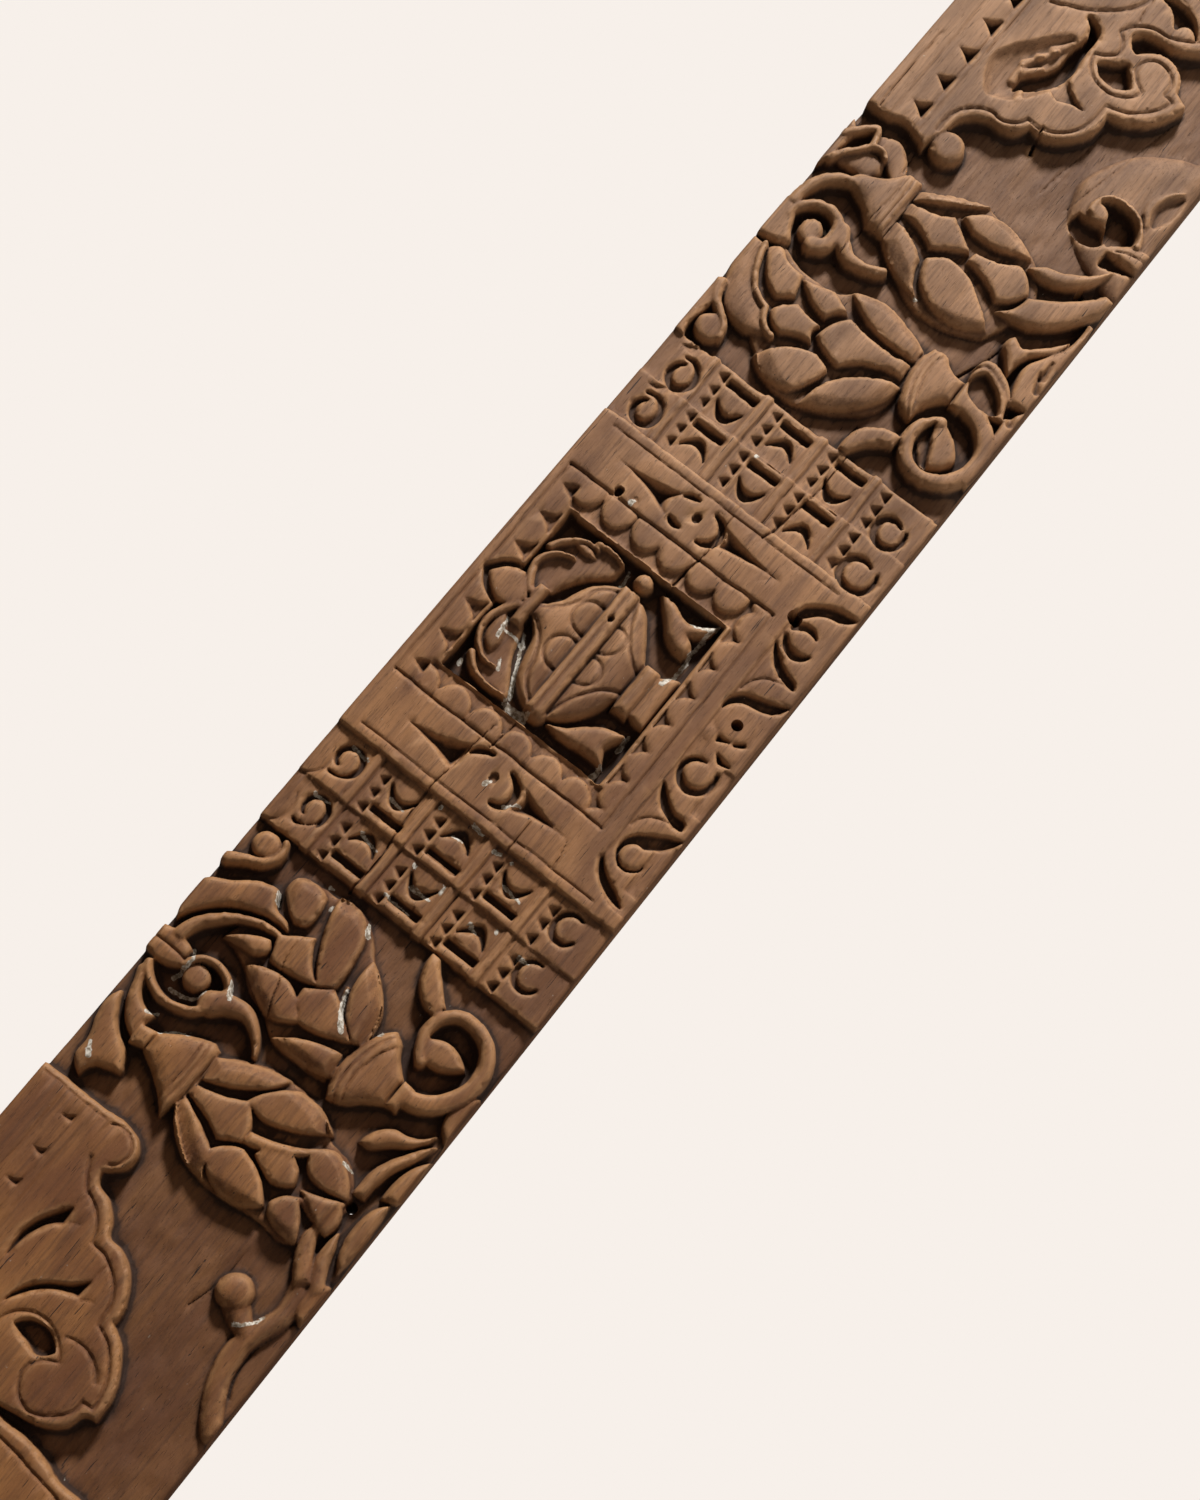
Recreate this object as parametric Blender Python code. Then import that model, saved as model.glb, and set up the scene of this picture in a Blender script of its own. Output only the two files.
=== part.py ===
"""A carved wooden wall panel: one plank with a pot of leaves in a square, lattices, lotus buds and end cartouches.

Metres, +Z up. The plank lies along X, its carved face looks along -Y, and its flat back is at Y = 0.
The face is drawn in millimetres, u along the plank from its middle and v up, with depths w below the plank's
own surface, and is turned into metres once, when the plank is made.
"""
import bmesh
import bpy
import numpy as np

LENGTH = 1100.0
HEIGHT = 180.0
THICKNESS = 45.0
CELL = 1.25
FACES = 11500
STEP = 2.5
WALL = 3.0
STEEP = 5.0
MM = 0.001

def spline(points, closed):
    """Closely spaced points on a smooth curve through the given ones; a third value marks a sharp corner."""
    knots = np.array([point[:2] for point in points], float)
    corners = [i for i, point in enumerate(points) if len(point) > 2]
    if closed and corners:
        knots = np.roll(knots, -corners[0], axis=0)
        cuts = [i - corners[0] for i in corners] + [len(knots)]
        knots = np.vstack([knots, knots[:1]])
        runs = [knots[a:b + 1] for a, b in zip(cuts, cuts[1:])]
    elif closed:
        runs = [np.vstack([knots[-3:], knots, knots[:4]])]
    else:
        cuts = [0] + [i for i in corners if 0 < i < len(knots) - 1] + [len(knots) - 1]
        runs = [knots[a:b + 1] for a, b in zip(cuts, cuts[1:])]
    line = []
    for run in runs:
        along = np.concatenate([[0.0], np.cumsum(np.hypot(*np.diff(run, axis=0).T))])
        slope = np.gradient(run, along, axis=0, edge_order=min(2, len(run) - 1))
        spans = range(len(run) - 1)
        if closed and not corners:
            spans = range(3, len(run) - 4)
        for i in spans:
            reach = along[i + 1] - along[i]
            count = 1 if len(run) == 2 else max(2, int(np.ceil(reach / STEP)))
            t = np.linspace(0.0, 1.0, count, endpoint=False)[:, None]
            line.append((2 * t ** 3 - 3 * t ** 2 + 1) * run[i] + (3 * t ** 2 - 2 * t ** 3) * run[i + 1]
                        + (t ** 3 - 2 * t ** 2 + t) * reach * slope[i] + (t ** 3 - t ** 2) * reach * slope[i + 1])
        if not closed and run is runs[-1]:
            line.append(run[-1:])
    return np.vstack(line)


def outline(*points):
    """A closed shape drawn on the face."""
    line = spline(points, True)
    return line, np.vstack([line[1:], line[:1]]), np.zeros(len(line)), np.zeros(len(line)), True


def stroke(*points, width=2.0, tip=None):
    """A band of one width, or one that runs from width to tip, along a line drawn on the face."""
    line = spline(points, False)
    half = np.linspace(width / 2, (width if tip is None else tip) / 2, len(line))
    return line[:-1], line[1:], half[:-1], half[1:], False


def disc(u, v, radius, squash=1.0):
    """A round shape, or an oval one when squashed."""
    turn = np.linspace(0.0, 2 * np.pi, 28, endpoint=False)
    line = np.column_stack([u + radius * np.cos(turn), v + radius * squash * np.sin(turn)])
    return line, np.roll(line, -1, axis=0), np.zeros(28), np.zeros(28), True


def arc(u, v, radius, start, end, width=2.0, tip=None, radius_end=None):
    """A band along a round or spiral line, from one angle to another in degrees."""
    turn = np.radians(np.linspace(start, end, max(4, int(abs(end - start) / 12) + 2)))
    reach = np.linspace(radius, radius if radius_end is None else radius_end, len(turn))
    line = [tuple(point) for point in np.column_stack([u + reach * np.cos(turn), v + reach * np.sin(turn)])]
    return stroke(*line, width=width, tip=tip)


def box(u0, u1, v0, v1):
    """A straight-sided shape."""
    return outline((u0, v0, 1), (u1, v0, 1), (u1, v1, 1), (u0, v1, 1))


class Relief:
    """The carved face: depths in millimetres at points a cell apart, 0 at the board's own face."""

    def __init__(self, cell):
        self.u = np.linspace(-LENGTH / 2, LENGTH / 2, int(round(LENGTH / cell)) + 1)
        self.v = np.linspace(-HEIGHT / 2, HEIGHT / 2, int(round(HEIGHT / cell)) + 1)
        self.w = np.zeros((len(self.v), len(self.u)))

    def near(self, shape, margin):
        """The part of the raster around a shape, with each point's distance outside its outline."""
        start, end, half_start, half_end, closed = shape
        low = np.minimum(start, end).min(axis=0) - half_start.max() - margin
        high = np.maximum(start, end).max(axis=0) + half_end.max() + margin
        rows = slice(*np.searchsorted(self.v, (low[1], high[1])))
        columns = slice(*np.searchsorted(self.u, (low[0], high[0])))
        u, v = np.meshgrid(self.u[columns], self.v[rows])
        away = np.full(u.shape, 1e6)
        inside = np.zeros(u.shape, bool)
        for a, b, half_a, half_b in zip(start, end, half_start, half_end):
            du, dv = b - a
            t = np.clip(((u - a[0]) * du + (v - a[1]) * dv) / (du * du + dv * dv + 1e-12), 0.0, 1.0)
            away = np.minimum(away, np.hypot(u - a[0] - t * du, v - a[1] - t * dv) - half_a - t * (half_b - half_a))
            if closed and dv != 0:
                inside ^= ((a[1] > v) != (b[1] > v)) & (u < a[0] + du * (v - a[1]) / dv)
        return (rows, columns), u, v, np.where(inside, -away, away)

    def swell(self, shape, top, rim=None, shoulder=6.0, tilt=(0.0, 0.0)):
        """Leave a form standing: it rises from rim at its outline to top over the shoulder."""
        rim = top if rim is None else rim
        place, u, v, away = self.near(shape, WALL)
        rise = 1.0 - np.clip(-away / shoulder, 0.0, 1.0)
        form = rim + (top - rim) * np.sqrt(1.0 - rise ** 2) - np.maximum(away, 0.0) * STEEP
        if tilt != (0.0, 0.0):
            middle = shape[0].mean(axis=0)
            form += tilt[0] * (u - middle[0]) + tilt[1] * (v - middle[1])
        self.w[place] = np.maximum(self.w[place], form)

    def sink(self, shape, floor, steep=None, dish=0.0):
        """Cut a form down to a floor with straight walls; dish deepens it away from them."""
        steep = STEEP if steep is None else steep
        place, u, v, away = self.near(shape, -floor / steep + 1.0)
        form = floor + np.maximum(away, 0.0) * steep - dish * (1.0 - np.exp(np.minimum(away, 0.0) / 4.0))
        self.w[place] = np.minimum(self.w[place], form)

    def vee(self, shape, slope, deepest):
        """Cut a form whose sides slope down from its outline."""
        place, u, v, away = self.near(shape, 1.0)
        self.w[place] = np.minimum(self.w[place], -np.minimum(np.maximum(-away, 0.0) * slope, deepest))

    def score(self, line, depth):
        """Cut a round-bottomed groove, or press a shape, into whatever form is there."""
        place, u, v, away = self.near(line, 1.0)
        half = max(line[2].max(), line[3].max(), 0.5)
        self.w[place] -= depth * np.clip(-away / half, 0.0, 1.0) ** 0.6

    def heap(self, line, height):
        """Raise a rounded bead on whatever form is there."""
        place, u, v, away = self.near(line, 1.0)
        half = max(line[2].max(), line[3].max(), 0.5)
        self.w[place] += height * np.sqrt(1.0 - np.clip(1.0 + away / half, 0.0, 1.0) ** 2)

face = Relief(CELL)


def score_all(depth, *lines):
    """Grooves of one depth."""
    for line in lines:
        face.score(line, depth)


SQUARE = (-73.5, 76.7, -52.0, 84.7)
RECESS = (-54.0, 55.0, -35.5, 67.0)

# The square's border: a sunk band between the inner ledge and a scribed line, with tongues left standing
face.sink(box(*SQUARE), floor=-4.5, steep=2.5)
for middle in (70.5, 50.3, 29.5, 10.0, -10.0, -29.5):
    face.swell(disc(-69.5, middle, 10.0), top=-0.5, rim=-2.2, shoulder=5.0)
for middle in (67.5, 47.5, 27.5, 8.5, -9.5, -27.5):
    face.swell(disc(72.5, middle, 10.0), top=-0.5, rim=-2.2, shoulder=5.0)
for middle in (-73.0, -52.5, -31.0, -9.5, 12.0, 33.0, 55.0, 76.0):
    face.swell(disc(middle, 80.0, 10.6), top=-0.5, rim=-2.0, shoulder=4.0)
for middle in (-75.0, -56.0, -35.7, -16.5, 3.0, 22.8, 43.0, 63.5, 80.0):
    face.swell(disc(middle, -49.5, 10.3), top=-0.5, rim=-2.0, shoulder=4.0)
face.sink(box(*RECESS), floor=-14.0)
for v in (84.7, -52.0):
    face.score(stroke((SQUARE[0], v), (SQUARE[1], v), width=1.8), 1.8)
for u in (SQUARE[0], SQUARE[1]):
    face.score(stroke((u, SQUARE[2]), (u, SQUARE[3]), width=2.0), 2.2)

# The pot that overflows with leaves, in the recess
bowl_top = outline((-3, 49, 1), (-12, 41), (-23, 38), (-35, 33.5), (-42, 27), (-46, 19.5, 1),
                   (41, 19.5, 1), (37, 27), (30, 34.5), (22, 38.5), (13, 42), (5, 49, 1))
bowl_foot = outline((-45, 10, 1), (-40, 1), (-30, -7.5), (-19, -13), (-12, -15.5, 1),
                    (13, -15.5, 1), (20, -11), (30, -3.5), (37, 2), (41, 10, 1))
face.swell(bowl_top, top=-1.2, rim=-7.0, shoulder=14.0)
face.swell(bowl_foot, top=-1.2, rim=-8.0, shoulder=14.0)
score_all(2.0,
          stroke((4, 47), (8.5, 41), (14.5, 35.5), (21, 32.5), (28, 31), (33, 26), (36.5, 20), width=2.6),
          stroke((-2.5, 47), (-7, 41), (-14, 35.5), (-22, 32.5), (-31, 30), (-37, 26), (-42, 20), width=2.6),
          arc(13.7, 22.5, 10.0, -10, 190, width=2.4), arc(-11.0, 22.5, 10.0, -10, 190, width=2.4),
          stroke((40.5, 9), (26, 4.5), (14, -4), (6, -15), width=2.4),
          stroke((-44, 9), (-28, 4), (-15, -5), (-8, -15), width=2.4),
          arc(11.7, 8.0, 9.0, 180, 360, width=2.4), arc(-9.7, 8.0, 9.0, 180, 360, width=2.4))
face.swell(box(-46, 41, 9.8, 19.7), top=-0.5, rim=-2.0, shoulder=2.0)
face.score(stroke((-46, 15.3), (41, 15.3), width=2.0), 1.6)
face.swell(box(-13, 13.5, 49.5, 55.8), top=-0.8, rim=-3.5, shoulder=3.0)
face.swell(box(-17.5, 14.0, -25.0, -16.0), top=-1.2, rim=-5.0, shoulder=4.5)
face.swell(outline((-15, -25.5, 1), (12, -25.5, 1), (14.5, -30), (17, -35.5, 1), (-18, -35.5, 1), (-17, -30)),
           top=-1.8, rim=-5.0, shoulder=6.0)
for u in (-45.0, 49.0):
    face.swell(disc(u, 12.8, 5.2), top=-2.0, rim=-5.5, shoulder=5.0)

# The bud over the pot, standing over the border
bud = outline((1.6, 81, 1), (9, 75), (13.2, 65.5, 1), (8, 61), (3, 56, 1), (-2, 57), (-9, 67.5, 1), (-5.5, 75))
face.sink(outline((1.6, 84.5, 1), (11, 77), (16, 65, 1), (3, 55, 1), (-12, 66, 1), (-8, 77)), floor=-6.0)
face.swell(bud, top=-0.8, rim=-2.5, shoulder=6.0)

# Drooping leaves either side of the bud, and fishtail leaves under the lugs
leaf_bodies = (
    [(8, 57.5, 1), (16, 63.5), (26, 65.5), (37, 62.5), (47, 55), (52, 42), (50, 27, 1), (44, 27), (32, 38), (14, 48, 1)],
    [(-4, 57.5, 1), (-13, 64), (-24, 65.5), (-36, 62), (-46, 55), (-50, 43), (-48, 30, 1), (-40, 34), (-28, 42), (-10, 48, 1)],
)
for edge in leaf_bodies:
    face.swell(outline(*edge), top=-7.0, rim=-9.0, shoulder=6.0)
blade_edges = (
    stroke((7, 57.5), (14, 62.5), (22.5, 65), (31, 60.5), (36, 51), width=5.0, tip=2.0),
    stroke((33, 64.5), (42, 59), (47.5, 51), (48, 43), width=4.5, tip=1.5),
    stroke((50.5, 45), (52, 38), (50, 28), width=3.5, tip=1.5),
    stroke((-3.5, 57.5), (-12, 63), (-22, 65.5), (-32, 62.5), (-38, 55), (-38.5, 46), width=5.0, tip=2.0),
    stroke((-40, 60.5), (-46, 54), (-49, 45), (-48, 33), width=4.0, tip=2.0),
)
for blade in blade_edges:
    face.swell(blade, top=-1.2, rim=-4.0, shoulder=2.5)
face.swell(outline((43.5, 56, 1), (46.5, 49), (44, 41, 1), (41.5, 46)), top=-3.0, rim=-6.0, shoulder=3.0)
face.swell(outline((-10, 60, 1), (-20, 62.5), (-30, 60), (-33, 54), (-28, 52), (-18, 55)), top=-3.0, rim=-6.0, shoulder=4.0)
fishtails = (
    [(51, 2, 1), (50, -8), (47, -18), (49.5, -26), (55, -33.5, 1), (47, -32), (40, -23.5, 1), (35, -29), (28.5, -28, 1),
     (30, -18), (39, -8)],
    [(-45.5, 6, 1), (-48, -6), (-47, -18), (-46.5, -31, 1), (-38, -26.5, 1), (-31, -29), (-25.5, -31, 1), (-27, -21),
     (-34, -11), (-41, -3)],
)
for edge in fishtails:
    face.swell(outline(*edge), top=-2.0, rim=-6.5, shoulder=6.0)

# Spindle cuts and round bosses either side of the square
for edge, deepest in (
        ([(-91.5, 64, 1), (-94, 45), (-97.5, 29, 1), (-90, 26.5), (-81, 27.5, 1), (-87, 42)], 7.0),
        ([(-97.5, -8, 1), (-93, -20), (-90.5, -44, 1), (-86.5, -24), (-80.5, -8, 1), (-89, -11)], 8.0),
        ([(94.7, 68, 1), (91.5, 45), (84.5, 26, 1), (93.5, 32), (103, 23, 1), (98.5, 40)], 7.0),
        ([(88.5, -2, 1), (92, -20), (93.7, -49, 1), (97, -20), (101.5, 1, 1), (95, -6)], 8.0)):
    face.vee(outline(*edge), slope=1.5, deepest=deepest)
for u, v, radius in ((-90.0, 9.5, 15.5), (94.0, 13.5, 14.5)):
    face.swell(disc(u, v, radius), top=-0.2, rim=-1.6, shoulder=4.0)
crescents = (
    arc(-90.5, 9.0, 17.5, 62, 18, width=1.0, tip=3.4), arc(-90.0, 9.5, 17.0, 208, 332, width=1.2),
    arc(93.5, 13.5, 16.5, 150, 175, width=2.5), arc(93.5, 14.0, 16.8, 25, 60, width=2.5),
    arc(93.5, 12.0, 15.5, 205, 318, width=3.0, tip=1.5),
)
score_all(3.5, *crescents)

# Scribed lines at the square's outer posts
for u, top, foot in ((-107.5, 79.5, -72.0), (108.8, 80.0, -72.0)):
    face.score(stroke((u, top), (u, foot), width=1.6), 1.4)

# The running scroll along the lower edge
run = outline((-104, -85, 1), (-102, -76), (-97, -68), (-90, -62.5), (-83, -60.5, 1), (86, -60.5, 1), (94, -65),
              (100, -72), (103.5, -85.5, 1))
face.sink(run, floor=-7.0)
face.swell(box(-118, 118, -90, -85), top=-2.0, rim=-2.5, shoulder=2.0)
scroll_bands = (
    stroke((-100.5, -86), (-96, -74), (-89, -66), (-79, -63), (-66, -66), (-57, -73), (-50, -84), width=5.0, tip=9.0),
    stroke((-80, -63.5), (-66, -64.5), (-56, -70), (-50, -80), (-48, -85), width=6.0, tip=5.0),
    stroke((-45, -86), (-40, -76), (-36, -68), (-28, -63), (-18, -62.5), (-9, -66), (-5, -74), (-6.5, -82), width=8.0, tip=4.0),
    stroke((12, -63), (22, -61), (31, -62), (38, -66), (43, -75), (48, -86), width=3.0, tip=11.0),
    stroke((52, -86), (56, -77), (62, -70), (68, -64.5), (78, -63), (87, -67), (94, -75), (97, -86), width=9.0, tip=9.0),
)
for band in scroll_bands:
    face.swell(band, top=-0.8, rim=-2.5, shoulder=3.5)
for u, v, radius in ((-75.5, -73.0, 7.5), (-18.5, -73.0, 10.0), (16.5, -73.0, 11.8), (75.5, -73.0, 7.0), (0.5, -80.3, 5.2),
                     (3.3, -64.5, 4.8)):
    face.swell(disc(u, v, radius), top=-0.8, rim=-2.5, shoulder=3.5)
face.swell(outline((-57, -61, 1), (-38, -61, 1), (-47, -70, 1)), top=-3.0, rim=-3.5, shoulder=2.0)
face.swell(outline((40, -61, 1), (60, -61, 1), (50, -70, 1)), top=-3.0, rim=-3.5, shoulder=2.0)
scroll_cuts = (
    arc(-75.5, -73.0, 9.5, 190, -20, width=3.0, tip=5.0), arc(-18.5, -73.5, 11.5, 175, 10, width=5.0, tip=3.5),
    arc(15.5, -73.0, 13.5, 95, -35, width=3.0, tip=7.0), arc(75.5, -73.0, 9.5, 190, 100, width=4.5, tip=3.0),
    arc(76.5, -73.0, 8.5, 90, -35, width=4.0),
)
for cut in scroll_cuts:
    face.sink(cut, floor=-6.5)

# The grounds: sunk under the leaves, and a little shallower under the end cartouches
GROUND = -13.5
face.sink(box(179.5, 361.0, -100.0, 100.0), floor=GROUND, steep=9.0)
face.sink(box(-342.5, -178.0, -100.0, 100.0), floor=GROUND, steep=9.0)
face.sink(box(361.0, 570.0, -100.0, 100.0), floor=GROUND + 2.5, steep=0.3)
face.sink(box(-570.0, -342.5, -100.0, 100.0), floor=GROUND + 2.5, steep=0.3)

# The two lattice panels beside the square, each two columns stepping down away from it: flush bars, rows of
# pointed notches, and cells with a post, a slot and a tongue whose round end has a crescent cut about it
BARS = (61.0, 25.0, -12.3, -49.0)
CELL_MIDDLES = (38.0, 1.0, -35.5)


def lattice_column(left, right, level, notches, slot, tongues, volutes):
    """One column of the lattice between two upright edges, at its own level."""
    face.sink(box(left, right, -95.0, 95.0), floor=level - 1.6)
    for bar in BARS:
        face.swell(box(left + 0.4, right - 0.4, bar - 2.6, bar + 2.6), top=level, rim=level - 0.6, shoulder=1.5)
        for notch in notches:
            face.vee(outline((notch - 5.0, bar - 11.2, 1), (notch + 3.6, bar - 11.2, 1), (notch + 0.8, bar - 4.2, 1),
                             (notch - 0.8, bar - 4.2, 1)), slope=2.6, deepest=-level + 6.0)
    for middle, (tongue, side) in zip(CELL_MIDDLES, tongues):
        face.sink(box(slot - 1.7, slot + 1.7, middle - 9.5, middle + 9.5), floor=level - 6.5)
        face.sink(outline((tongue, middle + 8.4, 1), (tongue + side * 9.6, middle), (tongue, middle - 7.6, 1),
                          (tongue + side * 5.4, middle)), floor=level - 6.0)
    for u, v, radius, start, end, widest in volutes:
        face.score(arc(u, v, radius - 1.5, start, end, width=widest, tip=1.4, radius_end=radius + 1.5), 3.2)


lattice_column(115.8, 147.0, -2.2, (123.0, 132.5, 141.7), 140.5, ((124.5, 1), (130.5, -1), (121.0, 1)),
               ((129.0, 72.5, 9.5, 35, 345, 4.2), (126.0, -72.5, 9.5, -20, 250, 4.2)))
lattice_column(147.0, 179.5, -3.6, (154.0, 163.3, 172.8), 171.5, ((160.5, -1), (155.5, 1), (160.5, -1)),
               ((159.0, 70.5, 9.5, 40, 350, 4.0), (157.0, -71.5, 9.5, -20, 290, 4.0)))
lattice_column(-146.0, -114.0, -2.6, (-141.5, -131.5, -123.0), -138.5, ((-122.0, -1), (-128.5, 1), (-122.5, -1)),
               ((-125.0, 73.0, 9.5, 130, -150, 1.6), (-125.5, -70.5, 9.0, 90, 420, 2.6)))
lattice_column(-178.0, -146.0, -4.6, (-173.5, -164.5, -155.5), -169.5, ((-159.5, 1), (-152.5, -1), (-162.5, 1)),
               ((-158.0, 71.0, 9.5, 130, -170, 1.6), (-158.0, -71.0, 9.0, 90, 420, 2.4)))
for left, level in ((115.8, -2.2), (147.0, -3.6)):
    face.vee(outline((left + 22.5, 80.0, 1), (left + 29.5, 83.0, 1), (left + 28.5, 66.0, 1), (left + 22.5, 68.0)),
             slope=1.0, deepest=-level + 3.0)

def petals(edges, top=-0.8, rim=-3.2, shoulder=7.0, tilt=(0.0, 0.0)):
    """Leave petals standing, each from its own outline."""
    for edge in edges:
        face.swell(outline(*edge), top=top, rim=rim, shoulder=shoulder, tilt=tilt)


def cup_rings(rings, width=4.0):
    """The turned rings of a flower's cup, each a rounded band."""
    for ring in rings:
        face.swell(stroke(*ring, width=width), top=-0.6, rim=-3.0, shoulder=2.0)


# Right: the standing lotus bud, its cup, and the stem that curls into a ring
petals((
    [(260.5, 26, 1), (265.5, 14), (266, 3), (262, -14), (256.5, -24.5, 1), (250.5, -24.5, 1), (248.5, -12), (249, 3), (254, 18)],
    [(225, 26.8, 1), (237.5, 23.7), (245, 17.5, 1), (242.7, 5), (243.2, -12), (246, -24, 1), (235.5, -24, 1), (231.5, -10),
     (225.5, 0), (217.5, 7.5, 1), (220.5, 18)],
    [(187, 10.5, 1), (198, 9), (211, 2), (222, -9), (228, -17), (231, -26.5, 1), (220, -24), (208, -19), (200, -12), (192, 0)],
    [(194, 46, 1), (202, 42), (210, 33), (215.3, 20, 1), (212, 10, 1), (200, 13), (188.5, 20, 1), (187, 28), (189, 38)],
    [(221, 55.5, 1), (227, 52.5), (233.2, 45.5, 1), (231.5, 37), (230.8, 28.5, 1), (225, 30), (219.8, 27, 1), (217.5, 35),
     (212.5, 43.5, 1), (214.5, 50.5)],
    [(247.5, 52, 1), (249.5, 44), (254, 35, 1), (250, 28), (246.8, 21, 1), (242.5, 26), (236.5, 29.5, 1), (238.5, 38), (243.5, 47.5)],
    [(229.5, 57.5, 1), (233, 66), (241, 73), (251.5, 79, 1), (255.5, 74), (251, 66), (249.5, 54, 1), (244, 53), (239, 48.5), (236, 50, 1)],
))
petals(([(202, 60, 1), (205, 72), (216, 82), (234, 90, 1), (252, 90, 1), (252, 83, 1), (240, 78.5), (228, 71), (221.5, 60),
         (219, 57, 1), (212.5, 54), (207.5, 45.5, 1)],), top=-3.0, rim=-5.5, shoulder=9.0)
rim_of_leaf = stroke((207.8, 46.5), (209.5, 51.5), (214.5, 56.5), (220.5, 59, 1), (225, 68), (236, 76.5), (251, 81.8), width=3.4)
face.swell(rim_of_leaf, top=-0.8, rim=-2.5, shoulder=1.7)
cup_rings((
    [(222, -32.5), (236, -27.5), (250, -26.3), (262.5, -29.5)],
    [(220, -37.5), (236, -32.2), (250, -31), (263.5, -33.5)],
))
petals(([(217.5, -43.5, 1), (230, -38.5), (245, -35), (263, -36.5, 1), (258, -42), (256, -53.5, 1), (240.5, -53.5, 1), (238, -49), (229, -44)],),
       rim=-4.5, shoulder=6.0)
petals(([(240, -54.5, 1), (257, -54.5, 1), (257, -61, 1), (239.5, -60.5, 1)],), rim=-2.0, shoulder=2.0)
ring_stem = stroke((246, -60), (243.5, -70), (237, -79.5), (226, -86.5), (213, -86), (201, -79), (195.5, -68), (197.5, -55),
                   (207.5, -48), (219, -49), (228, -57), width=10.5, tip=6.5)
face.swell(ring_stem, top=-0.8, rim=-3.5, shoulder=4.5)
face.swell(outline((229.5, -60, 1), (228, -54), (222, -52.5, 1), (202, -62.5, 1), (204.5, -71.5), (213, -76), (222, -70.5)),
           top=-3.5, rim=-5.5, shoulder=6.0)
face.swell(outline((179.5, -22, 1), (190, -22.5), (200, -29), (205.5, -38), (205, -45, 1), (198, -45.5, 1), (192.5, -37),
                   (187, -29), (179.5, -27.5, 1)), top=-2.0, rim=-4.0, shoulder=5.0)
face.swell(disc(191.5, 75.5, 8.2), top=-2.5, rim=-5.5, shoulder=6.0)
face.swell(stroke((190, 68.5), (197, 71), (202, 77), (206, 82), (217, 87), width=3.5, tip=7.0), top=-0.8, rim=-3.0, shoulder=2.5)
face.swell(outline((178, 90, 1), (178, 84, 1), (185, 86), (197, 87), (206, 83, 1), (219, 87, 1), (219, 92, 1)), top=-2.5, rim=-3.5)

# Right: the hooked leaf between the buds
face.swell(disc(275.5, 67.5, 7.6, 0.85), top=-3.0, rim=-5.0, shoulder=6.0)
face.swell(stroke((268, 62), (272, 56.5), (280, 55), (288, 57), (292.5, 66), (290, 75), (283.5, 80.5), (274, 83), width=9.0, tip=3.5),
           top=-0.8, rim=-3.5, shoulder=4.0)
face.swell(stroke((286, 54), (279, 47.5), (275, 40.5), (276, 31), (280.5, 21), width=10.5, tip=5.0), top=-0.8, rim=-4.0, shoulder=5.0)
face.swell(stroke((266, 74.5), (272, 74.5), (277, 73), width=1.6), top=-3.5, rim=-4.0, shoulder=1.0)

# Right: the hanging lotus bud, its stem and cup
petals(([(301, 47, 1), (309, 45.5), (338.5, 44.5, 1), (331, 52), (324, 62), (319, 69.5, 1), (314, 71), (311, 66), (307, 55)],),
       rim=-5.0, shoulder=8.0)
face.swell(stroke((284, 86), (296, 84.5), (306, 79.5), (312.5, 72), (315, 64), width=7.0, tip=6.0), top=-0.8, rim=-3.5, shoulder=3.5)
cup_rings((
    [(301, 42.5), (315, 42), (330, 42), (340, 43)],
    [(299, 38), (315, 37.5), (330, 37.5), (339, 38.5)],
), width=4.2)
petals(([(302, 35, 1), (337, 35.5, 1), (331, 33, 1), (304, 33.5, 1)],), top=-1.5, rim=-2.5, shoulder=1.5)
petals((
    [(298.5, 33.5, 1), (311.5, 33.5, 1), (309, 27), (305.5, 18.5), (299.5, 9.5, 1), (290, 6.5), (280, -1.5, 1), (283, 10), (290, 21)],
    [(317.5, 33.5, 1), (326.5, 33.5, 1), (327, 25), (330, 16), (334, 9.5, 1), (329, 1), (321.8, -9.3, 1), (315.5, 0), (309.2, 10, 1), (313, 16),
     (316.5, 24)],
    [(329.5, 34, 1), (336.5, 34, 1), (345, 21), (350.5, 10), (354, -2.5, 1), (345, 8), (338.5, 17.5), (333, 26)],
    [(302.5, 7.5, 1), (306.5, 2), (311.2, -4, 1), (310.5, -13), (306, -24), (297, -34), (290, -43, 1), (284, -38), (280.5, -27), (281, -12),
     (286, -3), (294, 4)],
    [(337.5, 5.5, 1), (345, -2), (351.3, -10), (352, -15), (349, -27), (342.5, -38.5, 1), (339, -30), (333.8, -21), (332.8, -12),
     (333, -4, 1)],
    [(317, -11.5, 1), (324, -12, 1), (325, -19), (329, -28), (334.2, -36, 1), (331, -44), (322, -50.5, 1), (314, -46), (307, -37.5, 1),
     (312, -30), (315.5, -20)],
))
petals((
    [(302.5, -40.5, 1), (309, -46.5), (321, -51, 1), (326, -59), (332, -67.5), (340, -75), (351, -85), (350, -90, 1), (338, -89, 1), (324, -80),
     (312, -69), (303.5, -55), (301.5, -46)],
    [(336.5, -40, 1), (342, -46), (345.5, -55), (352, -64), (367, -80, 1), (360, -79), (350, -72.5), (343.5, -69, 1), (338, -60), (334, -50)],
), rim=-4.0, shoulder=6.0)

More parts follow.
